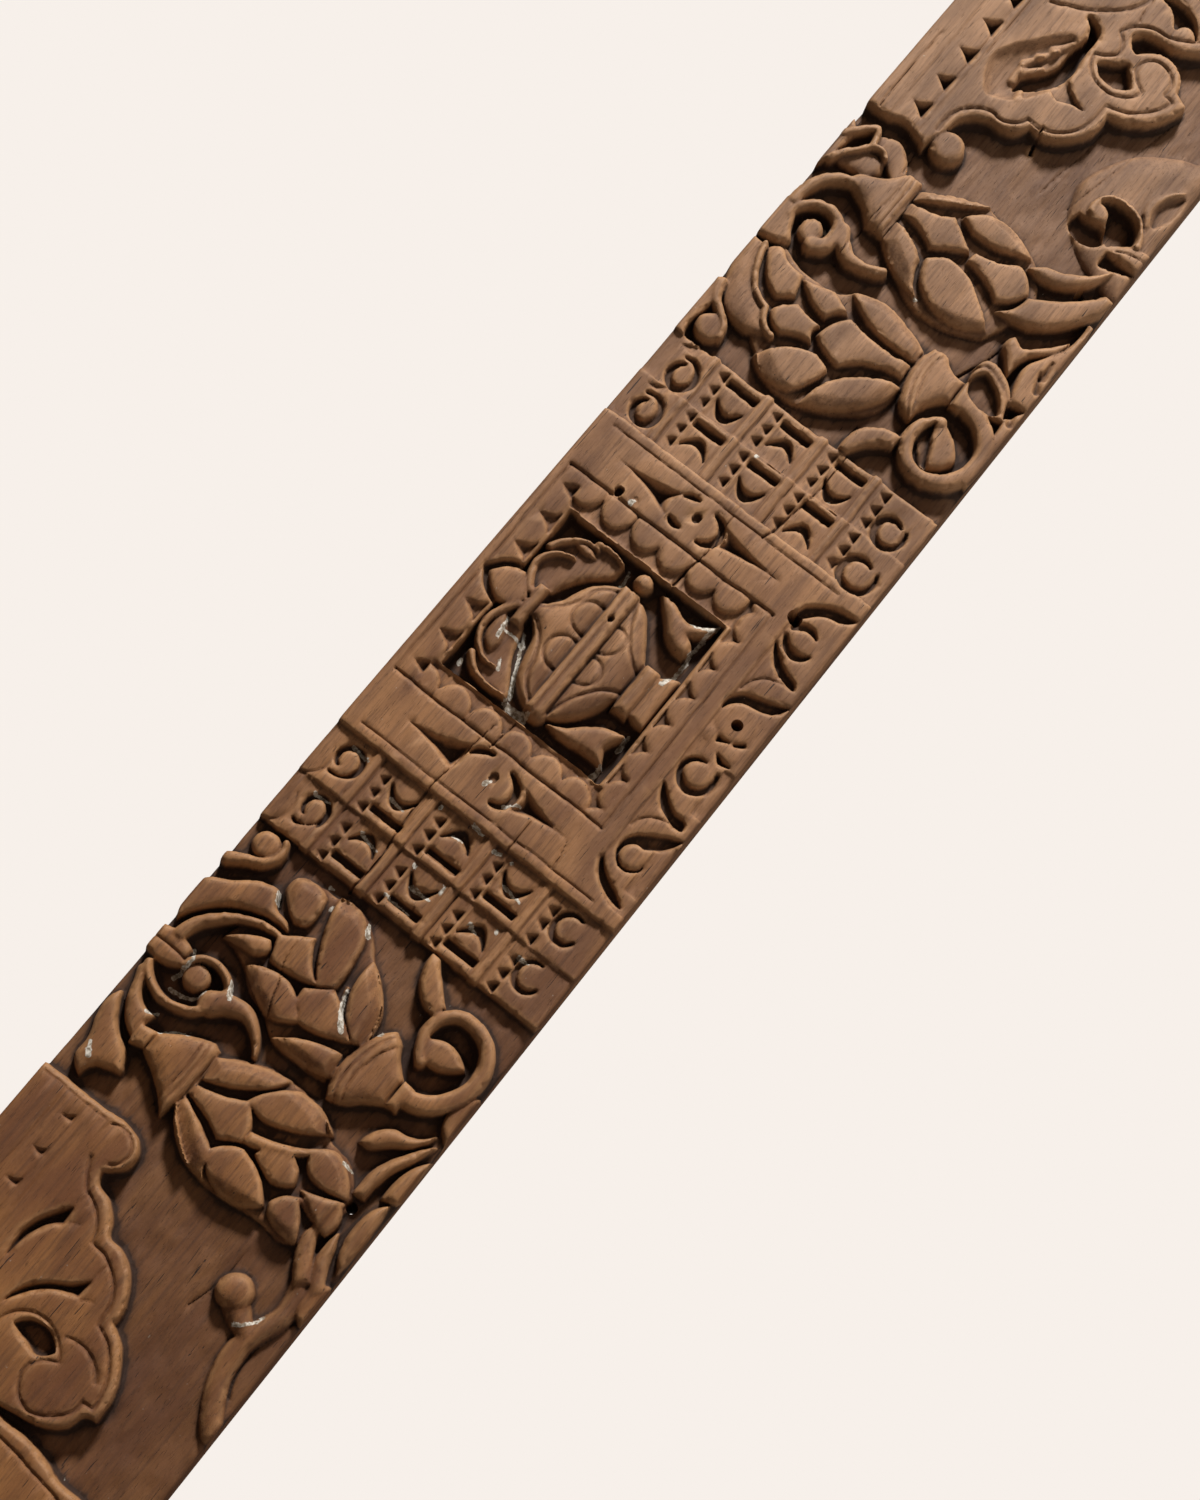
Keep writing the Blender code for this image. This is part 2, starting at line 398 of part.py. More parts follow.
# Right: the forked leaf in the upper corner
face.swell(stroke((318, 86), (326, 82), (334, 76), (339, 72), (341, 66), (338.5, 61.5), width=4.0, tip=3.0), top=-0.9, rim=-3.5, shoulder=2.0)
face.swell(stroke((338, 72.5), (345, 73), (350.5, 75.5), (347.5, 80), (341, 85.5), (336, 90), width=3.5, tip=4.5), top=-0.9, rim=-3.5,
           shoulder=2.0)
petals(([(320, 86, 1), (328, 82), (337, 74), (340, 66), (337, 60, 1), (330, 58), (324, 62, 1), (322, 72), (316, 80)],), top=-5.5, rim=-8.5)
petals(([(340, 71, 1), (350, 72), (355, 62), (350, 53), (340, 47), (332, 50), (338, 60)],), top=-7.0, rim=-9.0)
petals(([(310, 90, 1), (318, 86, 1), (330, 85), (341, 84, 1), (350, 90, 1)],), top=-3.0, rim=-5.0, shoulder=4.0)

# Right: the leaves along the lower edge
petals((
    [(250, -82, 1), (250.5, -66), (256, -57), (265, -53.5), (270.5, -57, 1), (270, -66), (262, -78, 1)],
    [(267.5, -52, 1), (275, -57), (275, -66), (268, -74), (262, -80, 1), (259, -78, 1), (268, -66), (270.5, -58)],
    [(275, -69, 1), (284, -62), (290, -57), (296.5, -59.5, 1), (294.5, -67), (300, -74), (313, -84.5, 1), (303, -82), (292, -72), (284, -69)],
    [(262, -80, 1), (274, -75), (286, -74), (296, -79), (308, -85), (330, -87, 1), (330, -91, 1), (262, -91, 1)],
), top=-1.2, rim=-3.5, shoulder=4.0)
petals(([(214, -84, 1), (232, -84.5), (252, -83, 1), (262, -91, 1), (205, -91, 1)],), top=-2.5, rim=-3.5, shoulder=3.0)
petals(([(254, -60, 1), (262, -55), (270, -60), (266, -70), (252, -80, 1)],), top=-6.0, rim=-8.0, shoulder=4.0)
face.swell(outline((255, 90, 1), (256, 79, 1), (262, 72.5), (268, 76, 1), (280, 81, 1), (284, 90, 1)), top=-2.0, rim=-4.0, shoulder=4.0)

# Left: the leaf and hanging lotus bud beside the cartouche
petals(([(-336.5, 74, 1), (-330, 82), (-320, 83), (-309, 86.5), (-299, 88), (-291, 85.5, 1), (-298, 81), (-304, 77), (-309, 72),
         (-313.5, 64), (-319, 60.5, 1), (-323.5, 59), (-326, 65), (-329, 71)],), top=-1.8, rim=-4.0, shoulder=5.0)
petals(([(-306.5, 66, 1), (-302, 74), (-295, 79.6), (-284, 84, 1), (-276, 87, 1), (-268, 83, 1), (-278, 80.4), (-286, 77), (-290.5, 71.5),
         (-291.5, 64, 1)],), top=-1.5, rim=-3.5, shoulder=4.0)
petals(([(-309, 65.5, 1), (-299, 66, 1), (-297, 57, 1), (-307, 57.5, 1)],), top=-1.5, rim=-3.0, shoulder=2.5)
petals(([(-308, 57.5, 1), (-297, 57, 1), (-291.5, 50), (-287, 42), (-283.5, 33), (-285, 27.5, 1), (-304, 26.5), (-327.5, 31, 1), (-319, 41),
         (-311, 50)],), top=-1.2, rim=-5.0, shoulder=9.0)
score_all(1.2, stroke((-326, 34.5), (-305, 32.5), (-285, 34.5), width=1.6), stroke((-327, 31), (-305, 28.5), (-284, 30), width=1.6),
          stroke((-324, 37.5), (-305, 35.8), (-287, 37.5), width=1.2))
petals((
    [(-319, 26.5, 1), (-313, 25.5, 1), (-318.5, 14), (-324, 3), (-328, -4.5, 1), (-335, -4), (-339.5, -6.5, 1), (-339.5, 0), (-336.5, 10),
     (-329, 20)],
    [(-310.5, 25.5, 1), (-305, 25.5, 1), (-303, 18), (-299.5, 8), (-295.5, -0.5, 1), (-300, -6), (-305.5, -9.5, 1), (-313.5, -10.5, 1),
     (-319.5, 0.5, 1), (-316, 9), (-312.5, 18)],
    [(-301, 25, 1), (-289, 27, 1), (-282, 15), (-276.5, 4), (-274, -10.5, 1), (-281, -7.5), (-287.5, -1.5), (-293, 7), (-298, 17)],
    [(-325, -1, 1), (-320.5, -7), (-315.5, -13.5, 1), (-319, -22), (-325, -32), (-331, -38.5, 1), (-336, -34), (-339.5, -25), (-339, -14),
     (-334, -6)],
    [(-295.5, 0, 1), (-288.5, -4), (-280, -11.5), (-275.5, -19), (-276.5, -30), (-282.8, -43, 1), (-289, -35), (-294.5, -25), (-298, -14),
     (-298.3, -6)],
    [(-313, -11, 1), (-306.5, -10.8, 1), (-304.5, -18), (-301, -28), (-296, -38), (-290.5, -46, 1), (-298, -41), (-304, -34), (-309, -24)],
    [(-313.5, -19, 1), (-308.5, -20.5, 1), (-306, -28), (-302.5, -34.5, 1), (-308, -41), (-314.5, -44.5, 1), (-318.5, -40), (-320, -34),
     (-317.5, -26)],
    [(-298.5, -41, 1), (-291, -45), (-288.5, -52), (-291, -59), (-298, -65.5), (-303, -69.5, 1), (-306, -61), (-307.5, -51), (-303.5, -44)],
    [(-327.5, -40, 1), (-321.5, -43.5), (-318, -50, 1), (-323, -55.5), (-335, -62, 1), (-337, -56), (-334.5, -48), (-331.5, -42)],
    [(-314, -49, 1), (-310.5, -58), (-305.5, -69.5, 1), (-314, -70), (-323.5, -68.5, 1), (-320, -61), (-317, -54)],
))

# Left: the hooked leaf between the buds
face.swell(disc(-263.5, 60.0, 7.0), top=-3.0, rim=-5.0, shoulder=6.0)
face.swell(stroke((-272, 84), (-278, 79), (-282, 70), (-281.5, 59), (-276, 49), (-268.5, 43.5), (-262, 43), (-255, 47), (-252, 56),
                  (-255, 65), (-262, 69), width=4.5, tip=4.0), top=-0.8, rim=-3.5, shoulder=3.0)
face.swell(stroke((-269, 46), (-264, 38), (-262, 29), (-267, 19), (-276, 12), width=13.0, tip=2.0), top=-0.8, rim=-4.0, shoulder=6.0)

# Left: the standing lotus bud
petals((
    [(-263, 10.5, 1), (-256.5, 1), (-251.5, -9), (-248.5, -21.5, 1), (-255, -23.5), (-261, -24.5, 1), (-264, -15), (-265, -4)],
    [(-241, 13.5, 1), (-234, 14.5, 1), (-225, 1.5, 1), (-231.5, -8), (-241.5, -21, 1), (-245.5, -12), (-248, -3), (-249.5, 5.5, 1)],
    [(-241, -21.5, 1), (-236, -15), (-229, -8.8), (-220, -5), (-211, -3.5), (-201.5, -4, 1), (-206.6, -12.7), (-215, -20.4),
     (-224, -26), (-232, -28), (-239, -26, 1)],
    [(-242.5, 44, 1), (-238, 36.5), (-236.6, 29.6), (-237.8, 19.6), (-241, 13.5, 1), (-249.7, 6, 1), (-255.8, 14), (-256.5, 22),
     (-251.5, 32), (-246, 39.6)],
    [(-229.5, 9.6, 1), (-218, 18.8), (-208, 23.5), (-198, 27), (-186, 29, 1), (-184.5, 21), (-188, 11), (-195, 6.5), (-208, 3.5),
     (-224, 1.5, 1)],
    [(-233.5, 37, 1), (-221, 42, 1), (-218, 38), (-213.5, 31), (-210.5, 26.5, 1), (-218, 22), (-224, 17), (-229, 10, 1), (-233.5, 15.8),
     (-232.6, 26)],
    [(-211, 40, 1), (-205.8, 48), (-198, 54), (-191.5, 53, 1), (-188.5, 45), (-190.5, 35, 1), (-198, 33), (-206.6, 32.5), (-210.5, 35)],
    [(-238, 63, 1), (-231, 55), (-225.5, 43, 1), (-230.5, 40), (-236.5, 45.5, 1), (-236.8, 52)],
))
face.swell(stroke((-250, 81), (-241, 77.5), (-233, 71), (-226.5, 63), (-222.5, 54), (-221, 42), width=7.5, tip=3.0), top=-0.8, rim=-3.5,
           shoulder=3.5)
petals(([(-246, 88, 1), (-238, 90), (-229, 89.5), (-219, 87), (-214, 79), (-208.5, 71), (-203, 63), (-202, 58), (-205, 54),
         (-211, 51), (-213.5, 42), (-216.5, 40, 1), (-217, 52), (-219.7, 62), (-224, 69.6), (-230.5, 76.5), (-238, 84)],), top=-1.2,
       rim=-3.5, shoulder=5.0)
face.swell(stroke((-240, -12), (-231, -6.5), (-220, -2.5), width=1.4), top=-4.0, rim=-5.0, shoulder=0.8)
cup_rings((
    [(-269, -27.5), (-256, -25.5), (-243, -27), (-230, -32.5), (-223, -36)],
    [(-268, -33), (-254, -32), (-240, -34), (-226, -40.5)],
), width=4.6)
petals(([(-268, -36.5, 1), (-254, -35), (-241, -37.5), (-227, -43, 1), (-234, -48.5), (-239.5, -54, 1), (-255.5, -54, 1), (-261, -46)],),
       rim=-4.5, shoulder=6.0)
petals(([(-255, -54.5, 1), (-239.5, -55, 1), (-240, -61, 1), (-254.5, -60.5, 1)],), rim=-2.0, shoulder=2.0)
face.swell(stroke((-246, -60), (-243, -69), (-236, -77), (-224, -83), (-210, -82.5), (-200, -76), (-195.5, -66), (-197, -54), (-206, -48),
                  (-217, -48.5), (-227, -55), width=9.0, tip=5.0), top=-0.8, rim=-3.5, shoulder=4.0)
petals(([(-223.5, -50, 1), (-215, -50.5, 1), (-210.5, -58.8), (-211, -66.5), (-217, -75, 1), (-223, -68.5), (-226, -59.6)],), top=-2.5,
       rim=-4.5, shoulder=5.0)
petals(([(-179, -25, 1), (-189, -25.5), (-197.4, -32), (-204, -39), (-204.5, -45.5, 1), (-197, -47.5, 1), (-190.5, -40), (-186, -34),
         (-179, -29.5, 1)],), top=-2.0, rim=-4.0, shoulder=4.0)
face.swell(disc(-188.0, 76.5, 7.0), top=-2.5, rim=-5.5, shoulder=6.0)
face.swell(stroke((-206, 88), (-201, 80), (-197.5, 73), (-191, 67.5), (-181, 69), width=6.5, tip=3.0), top=-1.0, rim=-3.5, shoulder=3.0)
petals(([(-266, 88, 1), (-268, 78), (-264, 70, 1), (-254, 71, 1), (-251, 80), (-252, 90, 1), (-265, 92, 1)],), top=-2.0, rim=-4.0,
       shoulder=4.0)

# Left: the leaves along the lower edge
petals((
    [(-297.5, -71, 1), (-293.5, -66), (-283, -65), (-272.5, -72, 1), (-283, -73)],
    [(-277, -55.5, 1), (-268, -58), (-261.5, -65), (-259.5, -73), (-253, -83, 1), (-262, -82, 1), (-270, -69), (-276.6, -61)],
    [(-345, -72, 1), (-330, -70), (-318, -74), (-300, -75), (-280, -76), (-268, -84, 1), (-290, -83), (-320, -81), (-345, -80, 1)],
    [(-345, -84, 1), (-300, -86), (-240, -84), (-215, -86), (-200, -91, 1), (-345, -91, 1)],
), top=-2.2, rim=-4.5, shoulder=4.0)

# Right: the cartouche block with its lobed lower edge
right_edge = outline(
    (361, 95, 1), (361, 75), (364, 66), (361.5, 57), (358.5, 49.5, 1), (377, 44.5, 1), (385, 43), (392, 37.5), (396, 30),
    (397, 21), (401, 13.5), (408.5, 9.5, 1), (408.5, 2), (412, -8), (419, -15), (428, -20), (436, -21.5), (443.5, -20.5, 1),
    (446, -29), (452, -38), (460, -46), (468, -50), (478, -52.5, 1), (482, -44, 1), (489, -42), (495.5, -35), (497.5, -27),
    (494.5, -18), (487.5, -11, 1), (491, -6), (496, -4, 1), (501, -7), (504, -16), (505.5, -28), (511, -38), (520, -48), (533, -55),
    (560, -58, 1), (560, 95, 1))
face.swell(right_edge, top=0.0, rim=-1.2, shoulder=2.5)
face.sink(outline((467.5, 2, 1), (462, -4), (461.5, -14), (466, -21, 1), (472, -17), (478.5, -12, 1), (474, -6), (471, -1)), floor=-9.0)
face.sink(outline((528, 0, 1), (531.5, -10), (530, -22), (518.5, -33, 1), (523, -26), (517, -19, 1), (524.5, -13)), floor=-9.0)
score_all(2.2,
          stroke((371, 48.7), (380, 49), (390, 46), (397, 40), (401, 32.5), (400, 25), (403.5, 17.5), (410.5, 13, 1), (411, 3),
                 (416, -7), (424, -13), (433, -15.7), (447.5, -16.5, 1), (449.5, -24), (455, -33), (463, -40), (474.5, -45, 1),
                 (476, -39, 1), (484, -38.5), (490, -33), (491.5, -26), (488.5, -19.5), (481.5, -17), (474.5, -20),
                 (469, -28, 1), (463, -26), (457, -18), (455.5, -8), (458.5, 0), (464.5, 5.5), (471, 7.5, 1), (475, 1), (481, -3.5),
                 (487, -2), (492.5, 3.5, 1), (501, -1), (507, -9), (509, -21), (516, -33), (530, -44), (552, -50), width=2.4),
          stroke((482, 47), (489, 32), (497, 20), (506, 10), (517, 4), (535, 1), (552, 0), width=3.2),
          stroke((362, 83), (400, 83.5), (425, 82.5), width=1.0), stroke((505, -1), (517, 1), (528, 1), width=1.0))
score_all(1.0, stroke((361, 75), (552, 75), width=1.2), stroke((361, 60), (552, 60), width=1.2),
          stroke((364, 56), (552, 55.5), width=1.4), stroke((517, -19), (509, -20.5), width=1.2))


def pointed_row(middles, top, foot, half):
    """A row of notches between hanging tongues: a point above, sides that curve out to the foot."""
    for middle in middles:
        face.vee(outline((middle - half, foot, 1), (middle + half, foot, 1), (middle + 0.3 * half, (top + foot) / 2),
                         (middle, top, 1), (middle - 0.3 * half, (top + foot) / 2)), slope=2.2, deepest=6.0)


pointed_row((377.0, 399.8, 422.5, 446.5, 470.0, 494.0, 518.0, 542.0), 70.0, 59.5, 7.5)
face.swell(disc(367.5, 38.0, 10.5, 0.95), top=-0.8, rim=-4.0, shoulder=6.0)
face.sink(outline((431.5, 7, 1), (437, 14), (448, 11, 1), (440.5, 2), (436, -8, 1), (435, 0)), floor=-4.0)
face.swell(outline((436, -8, 1), (441, 2), (449, 9.5), (462, 13.5), (478, 12.5, 1), (470, 8), (460, 4), (454, -4), (448, -10)),
           top=-0.2, rim=-1.5, shoulder=6.0)

# Right: the knot that has rotted out, with a split running from it
face.sink(outline((411, 40, 1), (421, 47), (431, 49.5), (443, 45), (455, 36), (467, 27), (471, 22.5, 1), (458, 15), (444, 12), (432, 18),
                  (418, 28)), floor=-4.0, steep=1.2, dish=3.5)
for knob_u, knob_v, knob_turn in ((424, 27, 0.3), (433, 35.5, 0.1), (446, 33, -0.6), (455, 28, -0.7), (464, 24.5, -0.6), (441, 29, -0.7)):
    face.heap(stroke((knob_u - 5, knob_v - 5 * knob_turn), (knob_u + 5, knob_v + 5 * knob_turn), width=6.0, tip=3.5), 3.0)
face.sink(outline((424, 31, 1), (433, 30.5), (443, 24), (452, 19.5), (466, 18.5), (481, 16), (489.5, 23, 1), (485, 14), (470, 13.2),
                  (452, 11.5), (442, 14), (432, 22)), floor=-14.0)

# Right: the curled frond in the lower corner
petals((
    [(384, -57, 1), (385.5, -49), (391, -47.5), (396.5, -49.5, 1), (393.5, -56), (388, -59.5, 1)],
    [(372.5, -86, 1), (374.5, -75), (377, -69, 1), (383, -73), (387, -86, 1)],
), top=-1.0, rim=-3.0, shoulder=3.5)
face.swell(stroke((387, -48.5), (395, -48.2), (401.5, -52), (404.3, -60), (403, -68.5), (397, -75.5), (387, -79.5), width=2.6, tip=3.6),
           top=-0.8, rim=-2.5, shoulder=1.6)
petals(([(397, -78, 1), (408, -70.5), (419, -70), (428, -76), (434, -83.5, 1), (420, -82), (408, -81)],), top=-5.5, rim=-8.0)
face.sink(outline((372, -47, 1), (377, -42), (385, -45), (384, -58, 1), (394, -57, 1), (397, -51, 1), (402, -58), (400, -68), (390, -76),
                  (380, -72, 1), (366, -70, 1), (372, -62)), floor=-14.0, steep=1.6)

# Left: the cartouche block
left_edge = outline(
    (-342.5, 95, 1), (-342.5, 50, 1), (-341.5, 40), (-343.5, 31), (-350, 25.5), (-357, 25), (-363, 29.5), (-366.5, 33.5, 1),
    (-372, 31), (-375.5, 22), (-382, 14), (-389, 9), (-390, 2), (-393.5, -6), (-401, -13), (-411, -18), (-419.5, -19, 1), (-425, -27),
    (-434, -34.5), (-446, -40.5), (-459.5, -41.5, 1), (-460.5, -36.5), (-470, -32.5), (-477, -23), (-479.5, -12), (-482, 0),
    (-483.5, 8, 1), (-486, -5), (-485.5, -20), (-488, -35), (-492, -48), (-493, -62), (-502, -72), (-516, -76), (-560, -77, 1),
    (-560, 95, 1))
face.swell(left_edge, top=0.0, rim=-1.2, shoulder=2.5)
score_all(1.8,
          stroke((-364.5, 42), (-371, 38.5), (-378.5, 33, 1), (-382, 25), (-388, 18), (-396.5, 14, 1), (-397, 6), (-401.5, -3),
                 (-410, -10.5), (-424.5, -13.5, 1), (-428, -22), (-436, -30), (-446, -35), (-456, -37, 1), (-456.5, -31, 1),
                 (-464, -29.5), (-472.5, -22), (-475.5, -11), (-470.5, -3), (-461.5, 0.5), (-454, -3), (-449.5, -10.5, 1), (-441, -2),
                 (-438, 8), (-441, 18), (-450, 25.5), (-462, 27), (-476, 22), (-490, 12), (-510, 8), (-552, 6), width=2.2),
          arc(-456, -13.0, 19.5, 25, -60, width=1.6, tip=3.2),
          arc(-354, 38.0, 10.0, 40, -150, width=2.0),
          stroke((-493, -2), (-493.5, -20), (-496, -38), (-500, -56), (-510, -68), (-552, -71), width=2.0))
score_all(1.0, stroke((-552, 72.8), (-346, 72.8), width=1.6), stroke((-552, 60), (-346, 60), width=1.4),
          stroke((-552, 55), (-346, 54.5), width=1.4), stroke((-346, 88), (-346, 48), width=1.2),
          stroke((-389, 32.5), (-372.5, 31), width=1.2), stroke((-396, 31), (-393, 24), width=2.4, tip=1.0),
          stroke((-411, 2), (-401, 1), width=1.2), stroke((-420.5, 0.5), (-417.5, -6), width=2.4, tip=1.0))
for edge in ([(-430, 41.5, 1), (-418, 44), (-405, 42.5), (-395, 37), (-388.5, 32.3, 1), (-397, 31, 1), (-402, 36.5), (-412, 41)],
             [(-446, 30, 1), (-435, 27.5), (-425, 19), (-417.5, 9), (-410.5, 1.8, 1), (-419.5, 2.5, 1), (-422, 11.5), (-430, 21.5)]):
    face.vee(outline(*edge), slope=2.4, deepest=6.5)
face.sink(outline((-448, 18, 1), (-443, 13), (-441.5, 3), (-447, -5, 1), (-452.5, 0), (-451, 8)), floor=-8.5)
for middle in (-357.5, -378.0, -397.5, -418.0, -438.0, -458.0, -478.0, -498.0, -518.0, -538.0):
    face.vee(outline((middle - 1.0, 60, 1), (middle + 9, 59.5, 1), (middle + 2.5, 62.5), (middle + 0.5, 69, 1), (middle - 1.0, 64)),
             slope=2.0, deepest=3.5)
face.swell(disc(-371.0, -52.5, 8.8), top=-2.5, rim=-7.5, shoulder=8.0)
face.swell(stroke((-421, -84), (-411, -76), (-398, -71.5), (-385, -73), (-370, -77.5), (-352, -77), width=4.0, tip=6.0),
           top=-4.0, rim=-7.5, shoulder=3.0)

# The nail holes that go right through the plank
NAIL_HOLES = (("left", -304.0, -73.0, 4.0), ("middle", 15.5, -73.5, 3.5), ("right", 83.5, -61.7, 4.6),
              ("far_right", 343.7, -73.0, 4.0))


def clear_scene():
    """Start from an empty scene."""
    for thing in list(bpy.data.objects):
        bpy.data.objects.remove(thing, do_unlink=True)


def plank_mesh(relief):
    """A block whose front is the relief and whose back and sides are flat."""
    bm = bmesh.new()
    bmesh.ops.create_grid(bm, x_segments=len(relief.u) - 1, y_segments=len(relief.v) - 1, size=0.5)
    front = list(bm.verts)
    edge = [e for e in bm.edges if e.is_boundary]
    skirt = bmesh.ops.extrude_edge_only(bm, edges=edge)["geom"]
    back = [v for v in skirt if isinstance(v, bmesh.types.BMVert)]
    bmesh.ops.contextual_create(bm, geom=[e for e in bm.edges if e.is_boundary])
    back_set = set(back)
    for vert in back:
        vert.co = (vert.co.x * LENGTH * MM, 0.0, vert.co.y * HEIGHT * MM)
    last_column = len(relief.u) - 1
    last_row = len(relief.v) - 1
    for vert in front:
        column = int(round((vert.co.x + 0.5) * last_column))
        row = int(round((vert.co.y + 0.5) * last_row))
        vert.co = (relief.u[column] * MM, -(THICKNESS + min(relief.w[row, column], 0.0)) * MM, relief.v[row] * MM)
    bmesh.ops.triangulate(bm, faces=bm.faces[:], quad_method="SHORT_EDGE")
    bmesh.ops.recalc_face_normals(bm, faces=bm.faces[:])
    mesh = bpy.data.meshes.new("carved_panel")
    bm.to_mesh(mesh)
    bm.free()
    return mesh


def wood():
    """Old oiled teak."""
    material = bpy.data.materials.new("old_wood")
    material.use_nodes = True
    shader = material.node_tree.nodes["Principled BSDF"]
    shader.inputs["Base Color"].default_value = (0.24, 0.13, 0.07, 1.0)
    shader.inputs["Roughness"].default_value = 0.62
    shader.inputs["Metallic"].default_value = 0.0
    return material


clear_scene()
panel = bpy.data.objects.new("carved_panel", plank_mesh(face))
bpy.context.collection.objects.link(panel)
panel.data.materials.append(wood())
fewer = panel.modifiers.new("fewer_faces", "DECIMATE")
fewer.ratio = FACES / len(panel.data.polygons)
for name, u, v, radius in NAIL_HOLES:
    bpy.ops.mesh.primitive_cylinder_add(vertices=12, radius=radius * MM, depth=4 * THICKNESS * MM,
                                        location=(u * MM, 0.0, v * MM), rotation=(np.pi / 2, 0.0, 0.0))
    drill = bpy.context.object
    drill.name = "drill_" + name
    drill.display_type = "WIRE"
    drill.hide_render = True
    hole = panel.modifiers.new("hole_" + name, "BOOLEAN")
    hole.operation = "DIFFERENCE"
    hole.solver = "MANIFOLD"
    hole.object = drill
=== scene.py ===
"""The carved wall panel: one plank of old teak with a pot of leaves in a square, lattices, lotus buds and end cartouches."""

import bmesh
import bpy
import numpy as np
from mathutils import Matrix, Vector


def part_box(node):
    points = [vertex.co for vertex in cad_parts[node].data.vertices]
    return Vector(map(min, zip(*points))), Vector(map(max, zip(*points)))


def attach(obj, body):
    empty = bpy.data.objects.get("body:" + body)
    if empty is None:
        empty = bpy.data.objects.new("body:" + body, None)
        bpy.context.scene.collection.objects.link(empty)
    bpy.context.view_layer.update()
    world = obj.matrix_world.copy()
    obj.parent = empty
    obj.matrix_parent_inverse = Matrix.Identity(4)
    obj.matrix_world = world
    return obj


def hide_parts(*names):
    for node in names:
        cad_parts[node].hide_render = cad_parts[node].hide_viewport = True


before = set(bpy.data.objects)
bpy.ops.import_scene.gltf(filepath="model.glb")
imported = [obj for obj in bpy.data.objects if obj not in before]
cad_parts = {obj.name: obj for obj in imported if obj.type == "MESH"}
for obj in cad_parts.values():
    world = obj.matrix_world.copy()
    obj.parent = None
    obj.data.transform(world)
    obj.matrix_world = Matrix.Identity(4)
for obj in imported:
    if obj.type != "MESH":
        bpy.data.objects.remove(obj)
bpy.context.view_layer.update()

# The plank
# One sawn board of teak, its carved face towards -Y and its flat back against the wall. The carving is drawn in
# millimetres on that face, u along the board from its middle and v up, with w below the board's own surface.
MM = 0.001
low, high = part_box("carved_panel")
LENGTH = round((high[0] - low[0]) / MM)
HEIGHT = round((high[2] - low[2]) / MM)
THICKNESS = round((high[1] - low[1]) / MM)
CELL = 0.7
FACES = 190000
STEP = 1.6
WALL = 1.8
STEEP = 9.0


def spline(points, closed):
    """Closely spaced points on a smooth curve through the given ones; a third value marks a sharp corner."""
    knots = np.array([point[:2] for point in points], float)
    corners = [i for i, point in enumerate(points) if len(point) > 2]
    if closed and corners:
        knots = np.roll(knots, -corners[0], axis=0)
        cuts = [i - corners[0] for i in corners] + [len(knots)]
        knots = np.vstack([knots, knots[:1]])
        runs = [knots[a:b + 1] for a, b in zip(cuts, cuts[1:])]
    elif closed:
        runs = [np.vstack([knots[-3:], knots, knots[:4]])]
    else:
        cuts = [0] + [i for i in corners if 0 < i < len(knots) - 1] + [len(knots) - 1]
        runs = [knots[a:b + 1] for a, b in zip(cuts, cuts[1:])]
    line = []
    for run in runs:
        along = np.concatenate([[0.0], np.cumsum(np.hypot(*np.diff(run, axis=0).T))])
        slope = np.gradient(run, along, axis=0, edge_order=min(2, len(run) - 1))
        spans = range(len(run) - 1)
        if closed and not corners:
            spans = range(3, len(run) - 4)
        for i in spans:
            reach = along[i + 1] - along[i]
            count = 1 if len(run) == 2 else max(2, int(np.ceil(reach / STEP)))
            t = np.linspace(0.0, 1.0, count, endpoint=False)[:, None]
            line.append((2 * t ** 3 - 3 * t ** 2 + 1) * run[i] + (3 * t ** 2 - 2 * t ** 3) * run[i + 1]
                        + (t ** 3 - 2 * t ** 2 + t) * reach * slope[i] + (t ** 3 - t ** 2) * reach * slope[i + 1])
        if not closed and run is runs[-1]:
            line.append(run[-1:])
    return np.vstack(line)


def outline(*points):
    """A closed shape drawn on the face."""
    line = spline(points, True)
    return line, np.vstack([line[1:], line[:1]]), np.zeros(len(line)), np.zeros(len(line)), True


def stroke(*points, width=2.0, tip=None):
    """A band of one width, or one that runs from width to tip, along a line drawn on the face."""
    line = spline(points, False)
    half = np.linspace(width / 2, (width if tip is None else tip) / 2, len(line))
    return line[:-1], line[1:], half[:-1], half[1:], False


def disc(u, v, radius, squash=1.0):
    """A round shape, or an oval one when squashed."""
    turn = np.linspace(0.0, 2 * np.pi, 28, endpoint=False)
    line = np.column_stack([u + radius * np.cos(turn), v + radius * squash * np.sin(turn)])
    return line, np.roll(line, -1, axis=0), np.zeros(28), np.zeros(28), True


def arc(u, v, radius, start, end, width=2.0, tip=None, radius_end=None):
    """A band along a round or spiral line, from one angle to another in degrees."""
    turn = np.radians(np.linspace(start, end, max(4, int(abs(end - start) / 12) + 2)))
    reach = np.linspace(radius, radius if radius_end is None else radius_end, len(turn))
    line = [tuple(point) for point in np.column_stack([u + reach * np.cos(turn), v + reach * np.sin(turn)])]
    return stroke(*line, width=width, tip=tip)


def curl(u, v, inner, outer, start, end, widest, squash=1.0):
    """A curled groove about a middle, from one radius and angle to another, pointed at both ends."""
    t = np.linspace(0.0, 1.0, 26)
    turn = np.radians(start + (end - start) * t)
    reach = inner + (outer - inner) * t
    line = np.column_stack([u + reach * np.cos(turn), v + squash * reach * np.sin(turn)])
    half = widest / 2 * np.sin(np.pi * (0.06 + 0.88 * t)) ** 0.7
    return line[:-1], line[1:], half[:-1], half[1:], False


def box(u0, u1, v0, v1):
    """A straight-sided shape."""
    return outline((u0, v0, 1), (u1, v0, 1), (u1, v1, 1), (u0, v1, 1))


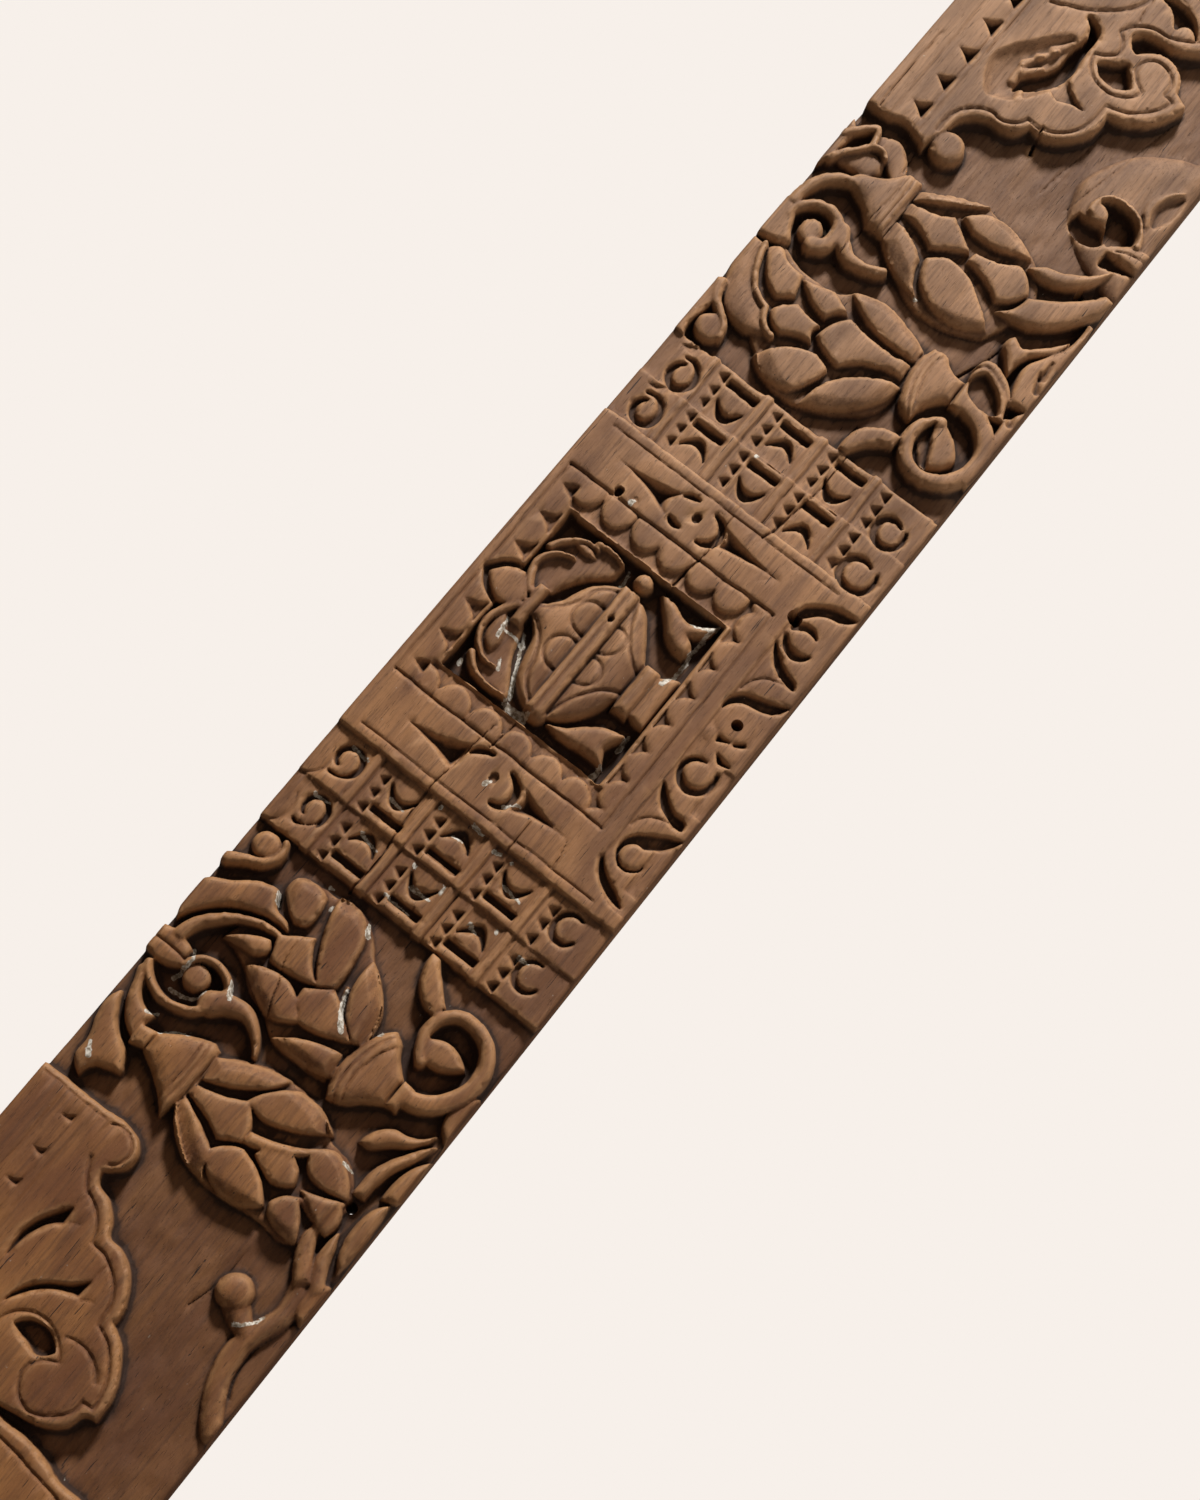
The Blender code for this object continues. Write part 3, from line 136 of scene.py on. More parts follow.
class Relief:
    """The carved face: depths in millimetres at points a cell apart, 0 at the board's own face."""

    def __init__(self, cell):
        self.u = np.linspace(-LENGTH / 2, LENGTH / 2, int(round(LENGTH / cell)) + 1)
        self.v = np.linspace(-HEIGHT / 2, HEIGHT / 2, int(round(HEIGHT / cell)) + 1)
        self.w = np.zeros((len(self.v), len(self.u)))

    def near(self, shape, margin):
        """The part of the raster around a shape, with each point's distance outside its outline."""
        start, end, half_start, half_end, closed = shape
        low = np.minimum(start, end).min(axis=0) - half_start.max() - margin
        high = np.maximum(start, end).max(axis=0) + half_end.max() + margin
        rows = slice(*np.searchsorted(self.v, (low[1], high[1])))
        columns = slice(*np.searchsorted(self.u, (low[0], high[0])))
        u, v = np.meshgrid(self.u[columns], self.v[rows])
        away = np.full(u.shape, 1e6)
        inside = np.zeros(u.shape, bool)
        for a, b, half_a, half_b in zip(start, end, half_start, half_end):
            du, dv = b - a
            t = np.clip(((u - a[0]) * du + (v - a[1]) * dv) / (du * du + dv * dv + 1e-12), 0.0, 1.0)
            away = np.minimum(away, np.hypot(u - a[0] - t * du, v - a[1] - t * dv) - half_a - t * (half_b - half_a))
            if closed and dv != 0:
                inside ^= ((a[1] > v) != (b[1] > v)) & (u < a[0] + du * (v - a[1]) / dv)
        return (rows, columns), u, v, np.where(inside, -away, away)

    def swell(self, shape, top, rim=None, shoulder=1.6, crown=0.0, tilt=(0.0, 0.0)):
        """Leave a form standing: it rises from rim at its outline to top over the shoulder, its middle by a crown."""
        rim = top if rim is None else rim
        place, u, v, away = self.near(shape, WALL)
        inside = np.maximum(-away, 0.0)
        rise = 1.0 - np.clip(inside / shoulder, 0.0, 1.0)
        form = rim + (top - rim) * np.sqrt(1.0 - rise ** 2) - np.maximum(away, 0.0) * STEEP
        form -= crown * (1.0 - inside / inside.max()) ** 2
        if tilt != (0.0, 0.0):
            middle = shape[0].mean(axis=0)
            form += tilt[0] * (u - middle[0]) + tilt[1] * (v - middle[1])
        self.w[place] = np.maximum(self.w[place], form)

    def sink(self, shape, floor, steep=None, dish=0.0):
        """Cut a form down to a floor with straight walls; dish deepens it away from them."""
        steep = STEEP if steep is None else steep
        place, u, v, away = self.near(shape, -floor / steep + 1.0)
        form = floor + np.maximum(away, 0.0) * steep - dish * (1.0 - np.exp(np.minimum(away, 0.0) / 4.0))
        self.w[place] = np.minimum(self.w[place], form)

    def vee(self, shape, slope, deepest, top=0.0):
        """Cut a form whose sides slope down from its outline."""
        place, u, v, away = self.near(shape, 1.0)
        cut = top - np.minimum(-away * slope, deepest)
        self.w[place] = np.where(away < 0.0, np.minimum(self.w[place], cut), self.w[place])

    def bevel(self, shape, width, drop):
        """Plane the forms inside an outline, by nothing at a width in from it and by the drop at it."""
        place, u, v, away = self.near(shape, 1.0)
        planed = -drop * np.clip(1.0 + away / width, 0.0, 1.0)
        self.w[place] = np.where(away < 0.0, np.minimum(self.w[place], planed), self.w[place])

    def chip(self, tip, foot, half, top, depth):
        """Cut a pointed notch that widens and deepens from its tip to its foot."""
        length = np.hypot(foot[0] - tip[0], foot[1] - tip[1])
        along = ((foot[0] - tip[0]) / length, (foot[1] - tip[1]) / length)
        columns = slice(*np.searchsorted(self.u, (min(tip[0], foot[0]) - half, max(tip[0], foot[0]) + half)))
        rows = slice(*np.searchsorted(self.v, (min(tip[1], foot[1]) - half, max(tip[1], foot[1]) + half)))
        u, v = np.meshgrid(self.u[columns] - tip[0], self.v[rows] - tip[1])
        t = np.clip((u * along[0] + v * along[1]) / length, 0.0, 1.0)
        room = np.clip(1.0 - np.abs(v * along[0] - u * along[1]) / (half * t + 1e-6), 0.0, 1.0)
        cut = np.where(t < 1.0, depth * t * np.minimum(1.7 * room, 1.0), 0.0)
        self.w[rows, columns] = np.where(cut > 0.0, np.minimum(self.w[rows, columns], top - cut), self.w[rows, columns])

    def score(self, line, depth):
        """Cut a round-bottomed groove, or press a shape, into whatever form is there."""
        place, u, v, away = self.near(line, 1.0)
        half = max(line[2].max(), line[3].max(), 0.5)
        self.w[place] -= depth * np.clip(-away / half, 0.0, 1.0) ** 0.6

    def heap(self, line, height):
        """Raise a rounded bead on whatever form is there."""
        place, u, v, away = self.near(line, 1.0)
        half = max(line[2].max(), line[3].max(), 0.5)
        self.w[place] += height * np.sqrt(1.0 - np.clip(1.0 + away / half, 0.0, 1.0) ** 2)

face = Relief(CELL)


def score_all(depth, *lines):
    """Grooves of one depth."""
    for line in lines:
        face.score(line, depth)


SQUARE = (-73.5, 76.7, -52.0, 84.7)
RECESS = (-54.0, 55.0, -35.5, 67.0)

# The square's border: half-round tongues hang from its four sides towards the recess, with chips between their
# ends and a thin rim left standing round the recess
face.sink(box(SQUARE[0] + 1.0, 60.0, -46.5, 80.0), floor=-4.2, steep=3.0)
face.sink(box(-60.0, SQUARE[1] - 1.0, -46.5, 80.0), floor=-4.2, steep=3.0)
for middle in (70.5, 50.3, 29.5, 10.0, -10.0, -29.5):
    face.swell(disc(-70.0, middle, 11.0, 0.93), top=-0.4, rim=-2.0, shoulder=4.0)
for middle in (67.5, 47.5, 27.5, 9.5, -9.5, -28.0):
    face.swell(disc(74.0, middle, 13.0, 0.76), top=-0.4, rim=-2.0, shoulder=4.0)
for middle in (-73.0, -52.5, -31.0, -9.5, 12.0, 33.0, 55.0, 76.0):
    face.swell(disc(middle, 80.5, 10.8), top=-0.3, rim=-1.6, shoulder=3.0)
for middle in (-75.0, -56.0, -35.7, -16.5, 3.0, 22.8, 43.0, 63.5, 80.0):
    face.swell(disc(middle, -48.0, 10.0, 0.9), top=-0.4, rim=-2.0, shoulder=4.0)
face.swell(box(-76.0, 79.0, 76.5, 86.0), top=0.0)
for middle in (-62.5, -41.5, -20.0, 22.0, 44.0, 65.0):
    face.chip((middle, 81.0), (middle, 72.0), half=5.0, top=-0.6, depth=4.5)
for middle in (-46.0, -26.0, -7.0, 12.5, 33.0, 53.0):
    face.chip((middle, -47.5), (middle, -39.0), half=4.6, top=-0.6, depth=4.2)
face.swell(box(RECESS[0] - 2.2, RECESS[1] + 2.4, RECESS[2] - 3.5, RECESS[3] + 3.0), top=-1.3, rim=-1.8, shoulder=0.8)
face.sink(box(*RECESS), floor=-14.0)
for v in (84.7, -52.0):
    face.score(stroke((SQUARE[0], v), (SQUARE[1], v), width=1.6), 1.6)
for u in (SQUARE[0], SQUARE[1]):
    face.score(stroke((u, SQUARE[2]), (u, SQUARE[3]), width=2.0), 2.2)

# The pot that overflows with leaves, in the recess
bowl_top = outline((-3, 49, 1), (-12, 41), (-23, 38), (-35, 33.5), (-42, 27), (-46, 19.5, 1),
                   (41, 19.5, 1), (37, 27), (30, 34.5), (22, 38.5), (13, 42), (5, 49, 1))
bowl_foot = outline((-45, 10, 1), (-40, 1), (-30, -7.5), (-19, -13), (-12, -15.5, 1),
                    (13, -15.5, 1), (20, -11), (30, -3.5), (37, 2), (41, 10, 1))
face.swell(bowl_top, top=-1.2, rim=-7.0, shoulder=14.0)
face.swell(bowl_foot, top=-1.2, rim=-8.0, shoulder=14.0)
score_all(2.0,
          stroke((4, 47), (8.5, 41), (14.5, 35.5), (21, 32.5), (28, 31), (33, 26), (36.5, 20), width=2.6),
          stroke((-2.5, 47), (-7, 41), (-14, 35.5), (-22, 32.5), (-31, 30), (-37, 26), (-42, 20), width=2.6),
          arc(13.7, 22.5, 10.0, -10, 190, width=2.4), arc(-11.0, 22.5, 10.0, -10, 190, width=2.4),
          stroke((40.5, 9), (26, 4.5), (14, -4), (6, -15), width=2.4),
          stroke((-44, 9), (-28, 4), (-15, -5), (-8, -15), width=2.4),
          arc(11.7, 8.0, 9.0, 180, 360, width=2.4), arc(-9.7, 8.0, 9.0, 180, 360, width=2.4))
face.swell(box(-46, 41, 9.8, 19.7), top=-0.5, rim=-2.0, shoulder=2.0)
face.score(stroke((-46, 15.3), (41, 15.3), width=2.0), 1.6)
face.swell(box(-13, 13.5, 49.5, 55.8), top=-0.8, rim=-3.5, shoulder=3.0)
face.swell(box(-17.5, 14.0, -25.0, -16.0), top=-1.2, rim=-5.0, shoulder=4.5)
face.swell(outline((-15, -25.5, 1), (12, -25.5, 1), (14.5, -30), (17, -35.5, 1), (-18, -35.5, 1), (-17, -30)),
           top=-1.8, rim=-5.0, shoulder=6.0)
for u in (-45.0, 49.0):
    face.swell(disc(u, 12.8, 5.2), top=-2.0, rim=-5.5, shoulder=5.0)

# The bud over the pot, standing over the border
bud = outline((1.6, 81, 1), (9, 75), (13.2, 65.5, 1), (8, 61), (3, 56, 1), (-2, 57), (-9, 67.5, 1), (-5.5, 75))
face.sink(outline((1.6, 84.5, 1), (11, 77), (16, 65, 1), (3, 55, 1), (-12, 66, 1), (-8, 77)), floor=-6.0)
face.swell(bud, top=-0.8, rim=-2.5, shoulder=6.0)

# Drooping leaves either side of the bud, and fishtail leaves under the lugs
leaf_bodies = (
    [(8, 57.5, 1), (16, 63.5), (26, 65.5), (37, 62.5), (47, 55), (52, 42), (50, 27, 1), (44, 27), (32, 38), (14, 48, 1)],
    [(-4, 57.5, 1), (-13, 64), (-24, 65.5), (-36, 62), (-46, 55), (-50, 43), (-48, 30, 1), (-40, 34), (-28, 42), (-10, 48, 1)],
)
for edge in leaf_bodies:
    face.swell(outline(*edge), top=-7.0, rim=-9.0, shoulder=6.0)
blade_edges = (
    stroke((7, 57.5), (14, 62.5), (22.5, 65), (31, 60.5), (36, 51), width=5.0, tip=2.0),
    stroke((33, 64.5), (42, 59), (47.5, 51), (48, 43), width=4.5, tip=1.5),
    stroke((50.5, 45), (52, 38), (50, 28), width=3.5, tip=1.5),
    stroke((-3.5, 57.5), (-12, 63), (-22, 65.5), (-32, 62.5), (-38, 55), (-38.5, 46), width=5.0, tip=2.0),
    stroke((-40, 60.5), (-46, 54), (-49, 45), (-48, 33), width=4.0, tip=2.0),
)
for blade in blade_edges:
    face.swell(blade, top=-1.2, rim=-4.0, shoulder=2.5)
face.swell(outline((43.5, 56, 1), (46.5, 49), (44, 41, 1), (41.5, 46)), top=-3.0, rim=-6.0, shoulder=3.0)
face.swell(outline((-10, 60, 1), (-20, 62.5), (-30, 60), (-33, 54), (-28, 52), (-18, 55)), top=-3.0, rim=-6.0, shoulder=4.0)
fishtails = (
    [(51, 2, 1), (50, -8), (47, -18), (49.5, -26), (55, -33.5, 1), (47, -32), (40, -23.5, 1), (35, -29), (28.5, -28, 1),
     (30, -18), (39, -8)],
    [(-45.5, 6, 1), (-48, -6), (-47, -18), (-46.5, -31, 1), (-38, -26.5, 1), (-31, -29), (-25.5, -31, 1), (-27, -21),
     (-34, -11), (-41, -3)],
)
for edge in fishtails:
    face.swell(outline(*edge), top=-2.0, rim=-6.5, shoulder=6.0)

# Spindle cuts and round bosses either side of the square
for edge, deepest in (
        ([(-91.5, 64, 1), (-94, 45), (-98, 29, 1), (-90, 26.5), (-80.5, 27.5, 1), (-86.5, 42)], 8.0),
        ([(-98, -7, 1), (-93.5, -18), (-90.5, -46, 1), (-86.5, -24), (-80.5, -7, 1), (-89, -11)], 8.0),
        ([(94.7, 69, 1), (91.5, 45), (83.5, 25, 1), (93.5, 31), (103.5, 22, 1), (98.5, 40)], 8.0),
        ([(87.5, -1, 1), (91.5, -18), (93.7, -50, 1), (97.5, -20), (102.5, 2, 1), (95, -6)], 9.0)):
    face.vee(outline(*edge), slope=2.2, deepest=deepest)
for u, v, radius in ((-90.0, 9.5, 15.5), (94.0, 13.0, 14.5)):
    face.swell(disc(u, v, radius), top=-0.2, rim=-1.2, shoulder=3.0)
for groove in (curl(-90.0, 3.0, 9.8, 9.8, 188, 352, 3.8), curl(-89.0, 16.0, 11.0, 11.0, 65, 0, 2.8),
               curl(93.5, 6.0, 9.2, 9.2, 183, 357, 4.0), curl(94.0, 19.0, 9.8, 9.8, 190, 140, 2.4),
               curl(94.0, 19.0, 9.8, 9.8, 45, -8, 2.4)):
    face.sink(groove, floor=-5.5)

# Scribed lines at the square's outer posts
for u, top, foot in ((-107.5, 79.5, -72.0), (108.8, 80.0, -72.0)):
    face.score(stroke((u, top), (u, foot), width=1.6), 1.4)

# The running scroll along the lower edge: curls left flush, with crescents and wedges cut between them
face.sink(outline((-104, -91, 1), (-103, -78), (-97, -68), (-88, -61, 1), (88, -61, 1), (96, -66), (102, -75), (104.5, -91, 1)),
          floor=-1.4)
scroll_cuts = (
    [(-101, -85, 1), (-99.5, -76), (-94.5, -67), (-85, -61.5, 1), (-91.5, -68.5), (-95.5, -77)],
    [(-83.5, -70.5, 1), (-76, -64.8), (-67.5, -66), (-61, -74), (-53.5, -89, 1), (-62, -83.5), (-68, -76), (-71.5, -68.8), (-77, -67.5)],
    [(-48.8, -85, 1), (-46.5, -74), (-41.5, -66.5), (-34, -62, 1), (-38.5, -69), (-42.5, -76), (-44.5, -84)],
    [(19, -61.5, 1), (26, -62), (32, -67), (35, -76), (41.5, -89, 1), (34, -85), (30, -78), (28.8, -71), (25.5, -66)],
    [(50.8, -85, 1), (52.5, -75), (57.5, -67.5), (66, -62, 1), (60, -70), (56, -77), (54, -83)],
    [(82, -61.5, 1), (92, -63), (99, -71), (103, -88, 1), (99, -85), (95.5, -74), (89.5, -67)],
    [(2, -69, 1), (7.5, -70.5, 1), (5.5, -76, 1)], [(-7, -78, 1), (-3.5, -75, 1), (-5.5, -84, 1)], [(6, -79, 1), (9, -84, 1), (11.5, -80, 1)],
)
for edge in scroll_cuts:
    face.sink(outline(*edge), floor=-7.0)
for groove in (curl(-18.5, -72.5, 7.0, 11.5, 0, 300, 4.8, 0.9), curl(76.0, -72.5, 9.0, 9.5, 110, 235, 4.0),
               curl(76.0, -72.5, 6.5, 8.5, -45, 75, 4.2), curl(-75.5, -73.5, 7.5, 7.5, 95, 260, 1.6)):
    face.sink(groove, floor=-6.0)
for u, v, radius in ((-75.5, -73.5, 7.0), (-19.0, -73.0, 7.5), (16.8, -73.0, 11.5), (75.5, -73.0, 6.5), (0.5, -80.5, 5.0), (3.0, -64.8, 4.6)):
    face.swell(disc(u, v, radius), top=-0.7, rim=-1.8, shoulder=3.0)
for bend in ([(-62, -62.5), (-54, -67), (-50, -75), (-49, -84)], [(33, -62.5), (42, -66), (48, -74), (50, -84)]):
    face.score(stroke(*bend, width=1.6), 1.6)
face.sink(box(-92.0, -58.0, -91.0, -80.5), floor=-3.2)
face.sink(box(-38.0, -8.0, -91.0, -82.5), floor=-3.0)

# The ground, sunk under the leaves and the end cartouches
GROUND = -12.5
face.sink(box(179.5, 570.0, -100.0, 100.0), floor=GROUND, steep=9.0)
face.sink(box(-570.0, -178.0, -100.0, 100.0), floor=GROUND, steep=9.0)

# The two lattice panels beside the square, each two columns stepping down away from it: flush bars, rows of
# pointed notches, and cells with a post, a slot and a tongue whose round end has a crescent cut about it
BARS = (61.0, 25.0, -12.3, -49.0)
CELL_MIDDLES = (38.3, 1.5, -35.5)


def lattice_column(left, right, level, post, notches, slot, tongues, curls):
    """One column of the lattice between two upright edges, at its own level, its posts left or right of its slots."""
    face.sink(box(left, right, -95.0, 95.0), floor=level - 1.4)
    for bar in BARS:
        for notch in notches:
            face.chip((notch, bar - 5.2), (notch, bar - 11.6), half=4.2, top=level - 1.4, depth=4.6)
        face.swell(box(left, right, bar - 2.3, bar + 2.3), top=level, rim=level - 0.4, shoulder=0.8)
        face.score(stroke((left + 1.0, bar - 3.5), (right - 1.0, bar - 3.5), width=1.4), 1.2)
    for middle, (tongue, side) in zip(CELL_MIDDLES, tongues):
        face.sink(box(left + 1.0, right - 1.0, middle - 9.6, middle + 9.6), floor=level - 2.4)
        face.swell(box(slot, post, middle - 9.6, middle + 9.6), top=level - 1.0, rim=level - 1.5, shoulder=1.0)
        face.swell(outline((tongue - side * 13.0, middle + 8.8, 1), (tongue - side * 1.0, middle + 8.4), (tongue + side * 6.2, middle),
                           (tongue - side * 1.0, middle - 8.4), (tongue - side * 13.0, middle - 8.8, 1)),
                   top=level - 1.6, rim=level - 2.6, shoulder=2.0)
        face.sink(box(slot - 1.7, slot + 1.7, middle - 9.4, middle + 9.4), floor=level - 7.5)
        face.sink(outline((tongue, middle + 8.6, 1), (tongue + side * 10.0, middle), (tongue, middle - 8.0, 1),
                          (tongue + side * 5.2, middle)), floor=level - 7.0)
    for u, v, inner, outer, start, end, widest, squash in curls:
        face.sink(curl(u, v, inner, outer, start, end, widest, squash), floor=level - 5.5)


lattice_column(115.8, 147.0, -2.2, 145.6, (123.0, 132.5, 141.7), 140.5, ((124.5, 1), (130.5, -1), (121.0, 1)),
               ((128.8, 73.0, 6.5, 11.0, 30, 395, 3.8, 0.84), (126.5, -72.5, 8.5, 11.0, -28, 300, 3.8, 1.0)))
lattice_column(147.0, 179.5, -3.6, 178.0, (154.0, 163.3, 172.8), 171.5, ((160.5, -1), (155.5, 1), (160.5, -1)),
               ((158.8, 70.8, 7.0, 11.0, 25, 385, 4.0, 0.84), (157.5, -72.0, 8.0, 10.5, -35, 300, 3.6, 0.9)))
lattice_column(-146.0, -114.0, -2.6, -144.8, (-141.5, -131.5, -123.0), -138.5, ((-122.0, -1), (-128.5, 1), (-122.5, -1)),
               ((-127.0, 73.0, 5.5, 11.0, 150, -205, 2.8, 0.84), (-126.5, -71.0, 8.0, 9.0, 240, -25, 3.0, 0.95)))
lattice_column(-178.0, -146.0, -4.6, -176.8, (-173.5, -164.5, -155.5), -169.5, ((-159.5, 1), (-152.5, -1), (-162.5, 1)),
               ((-158.0, 70.5, 5.5, 11.5, 150, -210, 2.6, 0.84), (-158.0, -71.0, 8.0, 9.0, 240, -10, 2.8, 0.95)))
for left, level in ((115.8, -2.2), (147.0, -3.6)):
    face.chip((left + 23.5, 71.0), (left + 30.5, 75.0), half=9.0, top=level - 1.4, depth=3.0)
for left, level in ((-146.0, -2.6), (-178.0, -4.6)):
    face.score(stroke((left, 87.0), (left + 8.0, 80.0), (left + 22.0, 82.5), width=2.0, tip=1.0), 1.6)
    face.swell(outline((left + 0.5, 81.0, 1), (left + 7.5, 79.0, 1), (left + 10.5, 68.0), (left + 15.0, 63.5, 1),
                       (left + 0.5, 63.5, 1)), top=level - 0.5, rim=level - 1.2, shoulder=2.0)


def petals(edges, top=-0.8, rim=-1.5, shoulder=1.4, crown=0.6):
    """Leave petals standing, each from its own outline, flat-topped with crisp edges."""
    for edge in edges:
        face.swell(outline(*edge), top=top, rim=rim, shoulder=shoulder, crown=crown)


def lotus(hull, edges, width=9.0, drop=5.5):
    """A lotus bud: petals on a core, their outer sides planed down to its hull."""
    face.swell(outline(*hull), top=-8.0, rim=-10.0, shoulder=3.0)
    petals(edges)
    face.bevel(outline(*hull), width, drop)


def cup(edge, rings):
    """The turned cup under a flower: a rounded form with ring lines cut across it."""
    face.swell(outline(*edge), top=-0.6, rim=-6.0, shoulder=9.0)
    for ring in rings:
        face.score(stroke(*ring, width=1.6), 1.6)


# Right: the standing lotus bud, its cup, and the stem that curls into a ring
lotus([(226, -28, 1), (208, -23), (194, -6), (185.5, 12), (186, 34), (196, 47, 1), (204, 58), (214, 72), (240, 82), (258, 76),
       (254, 52), (256, 34), (262, 26), (266.8, 6), (263, -14), (257, -27, 1)],
      ([(248, -24.5, 1), (246.5, -8), (250, 11), (260.5, 26.5, 1), (266.3, 8), (263.5, -10), (257, -24.5, 1)],
       [(225, 26.8, 1), (236, 24), (245, 17.5, 1), (242.4, 5), (242.2, -10), (244.5, -24, 1), (235.5, -24, 1), (229, -5),
        (217.5, 7.5, 1), (220, 18)],
       [(187, 10.5, 1), (204, 7), (221, -7), (231, -26.5, 1), (212, -22), (196, -6)],
       [(194, 46.5, 1), (206, 38), (215.3, 20, 1), (212, 10, 1), (200, 13), (188.5, 20, 1), (186.8, 33)],
       [(221, 55.5, 1), (227.5, 52), (233.2, 45.5, 1), (231.5, 37), (230.8, 28.5, 1), (225, 30), (219.8, 27, 1), (217.5, 35),
        (212.5, 43.5, 1), (215, 51)],
       [(247.5, 52, 1), (249.5, 44), (254, 35, 1), (250, 28), (246.8, 21, 1), (242.5, 26), (236.5, 29.5, 1), (238.5, 38), (243, 46.5)],
       [(229.5, 57.5, 1), (234, 67), (242, 74), (251.5, 79, 1), (255.5, 73), (251.5, 66), (249.5, 54, 1), (243, 52), (236, 50, 1)]))
face.swell(outline((202, 60, 1), (205, 74), (216, 84), (234, 91, 1), (254, 91, 1), (252, 83, 1), (238, 77.5), (227, 70), (219, 57, 1),
                   (212.5, 54), (207.5, 45.5, 1)), top=-2.6, rim=-7.0, shoulder=12.0)
face.swell(stroke((207.8, 46.5), (209.5, 51.5), (214.5, 56.5), (220.5, 59, 1), (225, 68), (236, 76.5), (251, 81.8), width=3.4),
           top=-0.8, rim=-1.6, shoulder=1.5)
cup([(218, -42.5, 1), (222, -33), (232, -27.8), (246, -25.2), (262.8, -28.5, 1), (264, -36.5, 1), (258.5, -42), (256, -53.5, 1),
     (240.5, -53.5, 1), (235, -47)],
    ([(220, -39), (234, -32), (249, -29.7), (264, -32.3)], [(217, -43.5), (234, -36.5), (249, -33.8), (264, -36.5)]))
petals(([(239.5, -54.5, 1), (257, -54.5, 1), (257.5, -61, 1), (239.5, -60.5, 1)],))
face.swell(stroke((246, -60), (243.5, -70), (237, -79.5), (226, -86.5), (213, -86), (201, -79), (195, -68), (197, -55), (207, -48.5),
                  (219, -49), (228, -57), width=11.5, tip=6.5), top=-0.8, rim=-3.0, shoulder=5.0)
face.swell(outline((229.5, -60, 1), (226, -53), (201, -63, 1), (205, -72), (213, -76), (222, -70.5)), top=-2.6, rim=-5.5, shoulder=7.0)
face.sink(outline((201.5, -65.5, 1), (205, -57), (214, -52), (225, -54.5, 1), (215, -58.5)), floor=-9.5)
face.swell(outline((179.5, -21.5, 1), (192, -22.5), (204, -34), (205.5, -45, 1), (197.5, -44.5, 1), (190, -33), (179.5, -26.5, 1)),
           top=-1.2, rim=-2.5, shoulder=3.0)
face.swell(disc(191.0, 75.5, 8.6), top=-2.0, rim=-4.0, shoulder=4.0)
face.swell(stroke((188.5, 68.0), (197, 70.5), (202.5, 77), (206, 82), (217, 87), width=2.6, tip=7.0), top=-0.8, rim=-2.0, shoulder=2.0)
face.swell(outline((178, 91, 1), (178, 84, 1), (185, 86), (196, 84.5), (206, 83, 1), (219, 87, 1), (219, 92, 1)), top=-1.8, rim=-2.6)

# Right: the hooked leaf between the buds
face.swell(disc(275.5, 67.5, 8.0, 0.85), top=-2.4, rim=-4.5, shoulder=5.0)
face.swell(stroke((268, 62), (272, 56.5), (280, 55), (288, 57), (292.5, 66), (290, 75), (283.5, 80.5), (274, 83), width=9.0, tip=3.5),
           top=-0.8, rim=-2.4, shoulder=3.0)
face.swell(stroke((286, 54), (279, 47.5), (275, 40.5), (276, 31), (280.5, 21), width=10.5, tip=5.0), top=-0.8, rim=-3.0, shoulder=4.0)
face.swell(outline((255, 91, 1), (256, 79, 1), (262, 72.5), (268, 76, 1), (280, 81, 1), (284, 91, 1)), top=-2.0, rim=-4.0, shoulder=3.0)

# Right: the hanging lotus bud, its stem and cup
face.swell(stroke((284, 86), (296, 84.5), (306, 79.5), (312.5, 72), (315, 64), width=7.0, tip=6.0), top=-0.8, rim=-2.6, shoulder=3.0)
cup([(298, 34, 1), (298.5, 46, 1), (306, 54), (312.5, 71, 1), (320, 69), (327, 57), (341.5, 45.5, 1), (341, 36, 1), (320, 34.5)],
    ([(298, 44.5), (315, 43.6), (341, 45)], [(298, 40), (315, 39.5), (341, 40.6)], [(299, 35.8), (320, 35.6), (340, 36.4)]))
lotus([(297, 34, 1), (286, 17), (276, -3), (277, -26), (286, -45, 1), (298, -50), (322, -56), (342, -44), (351, -28), (353.5, -10),
       (355, -3), (349, 15), (338, 35, 1)],
      ([(298.5, 33.5, 1), (311.5, 33.5, 1), (306.5, 20), (299.5, 9.5, 1), (290, 6.5), (280, -1.5, 1), (283.5, 11)],
       [(317.5, 33.5, 1), (326.5, 33.5, 1), (327.5, 22), (334, 9.5, 1), (329, 1), (321.8, -9.3, 1), (315, 1), (309.2, 10, 1), (315, 20)],
       [(329.5, 34, 1), (336.5, 34, 1), (347, 16), (354.3, -2.5, 1), (345, 8), (336, 22)],
       [(302.5, 7.5, 1), (307.5, 2.5), (311.2, -4, 1), (309, -18), (300.5, -31), (290, -43.5, 1), (282, -33), (280, -15), (287, -1)],
       [(337.5, 5.5, 1), (348, -5), (352, -15), (349, -27), (342.5, -38.5, 1), (336, -25), (333, -4, 1)],
       [(317, -11.5, 1), (324, -12, 1), (327, -24), (334.2, -36, 1), (330, -45), (322, -50.5, 1), (313, -45.5), (307, -37.5, 1),
        (314, -26)]), drop=6.0)
petals((
    [(302.5, -40.5, 1), (310, -47.5), (321, -51, 1), (326, -59), (333, -68), (351, -84, 1), (350, -91, 1), (338, -89, 1), (322, -79),
     (307, -63)],
    [(336.5, -40, 1), (342.5, -46), (346.5, -57), (367, -80, 1), (355, -76.5), (343.5, -69, 1), (336, -57)],
), rim=-4.0, shoulder=5.0)

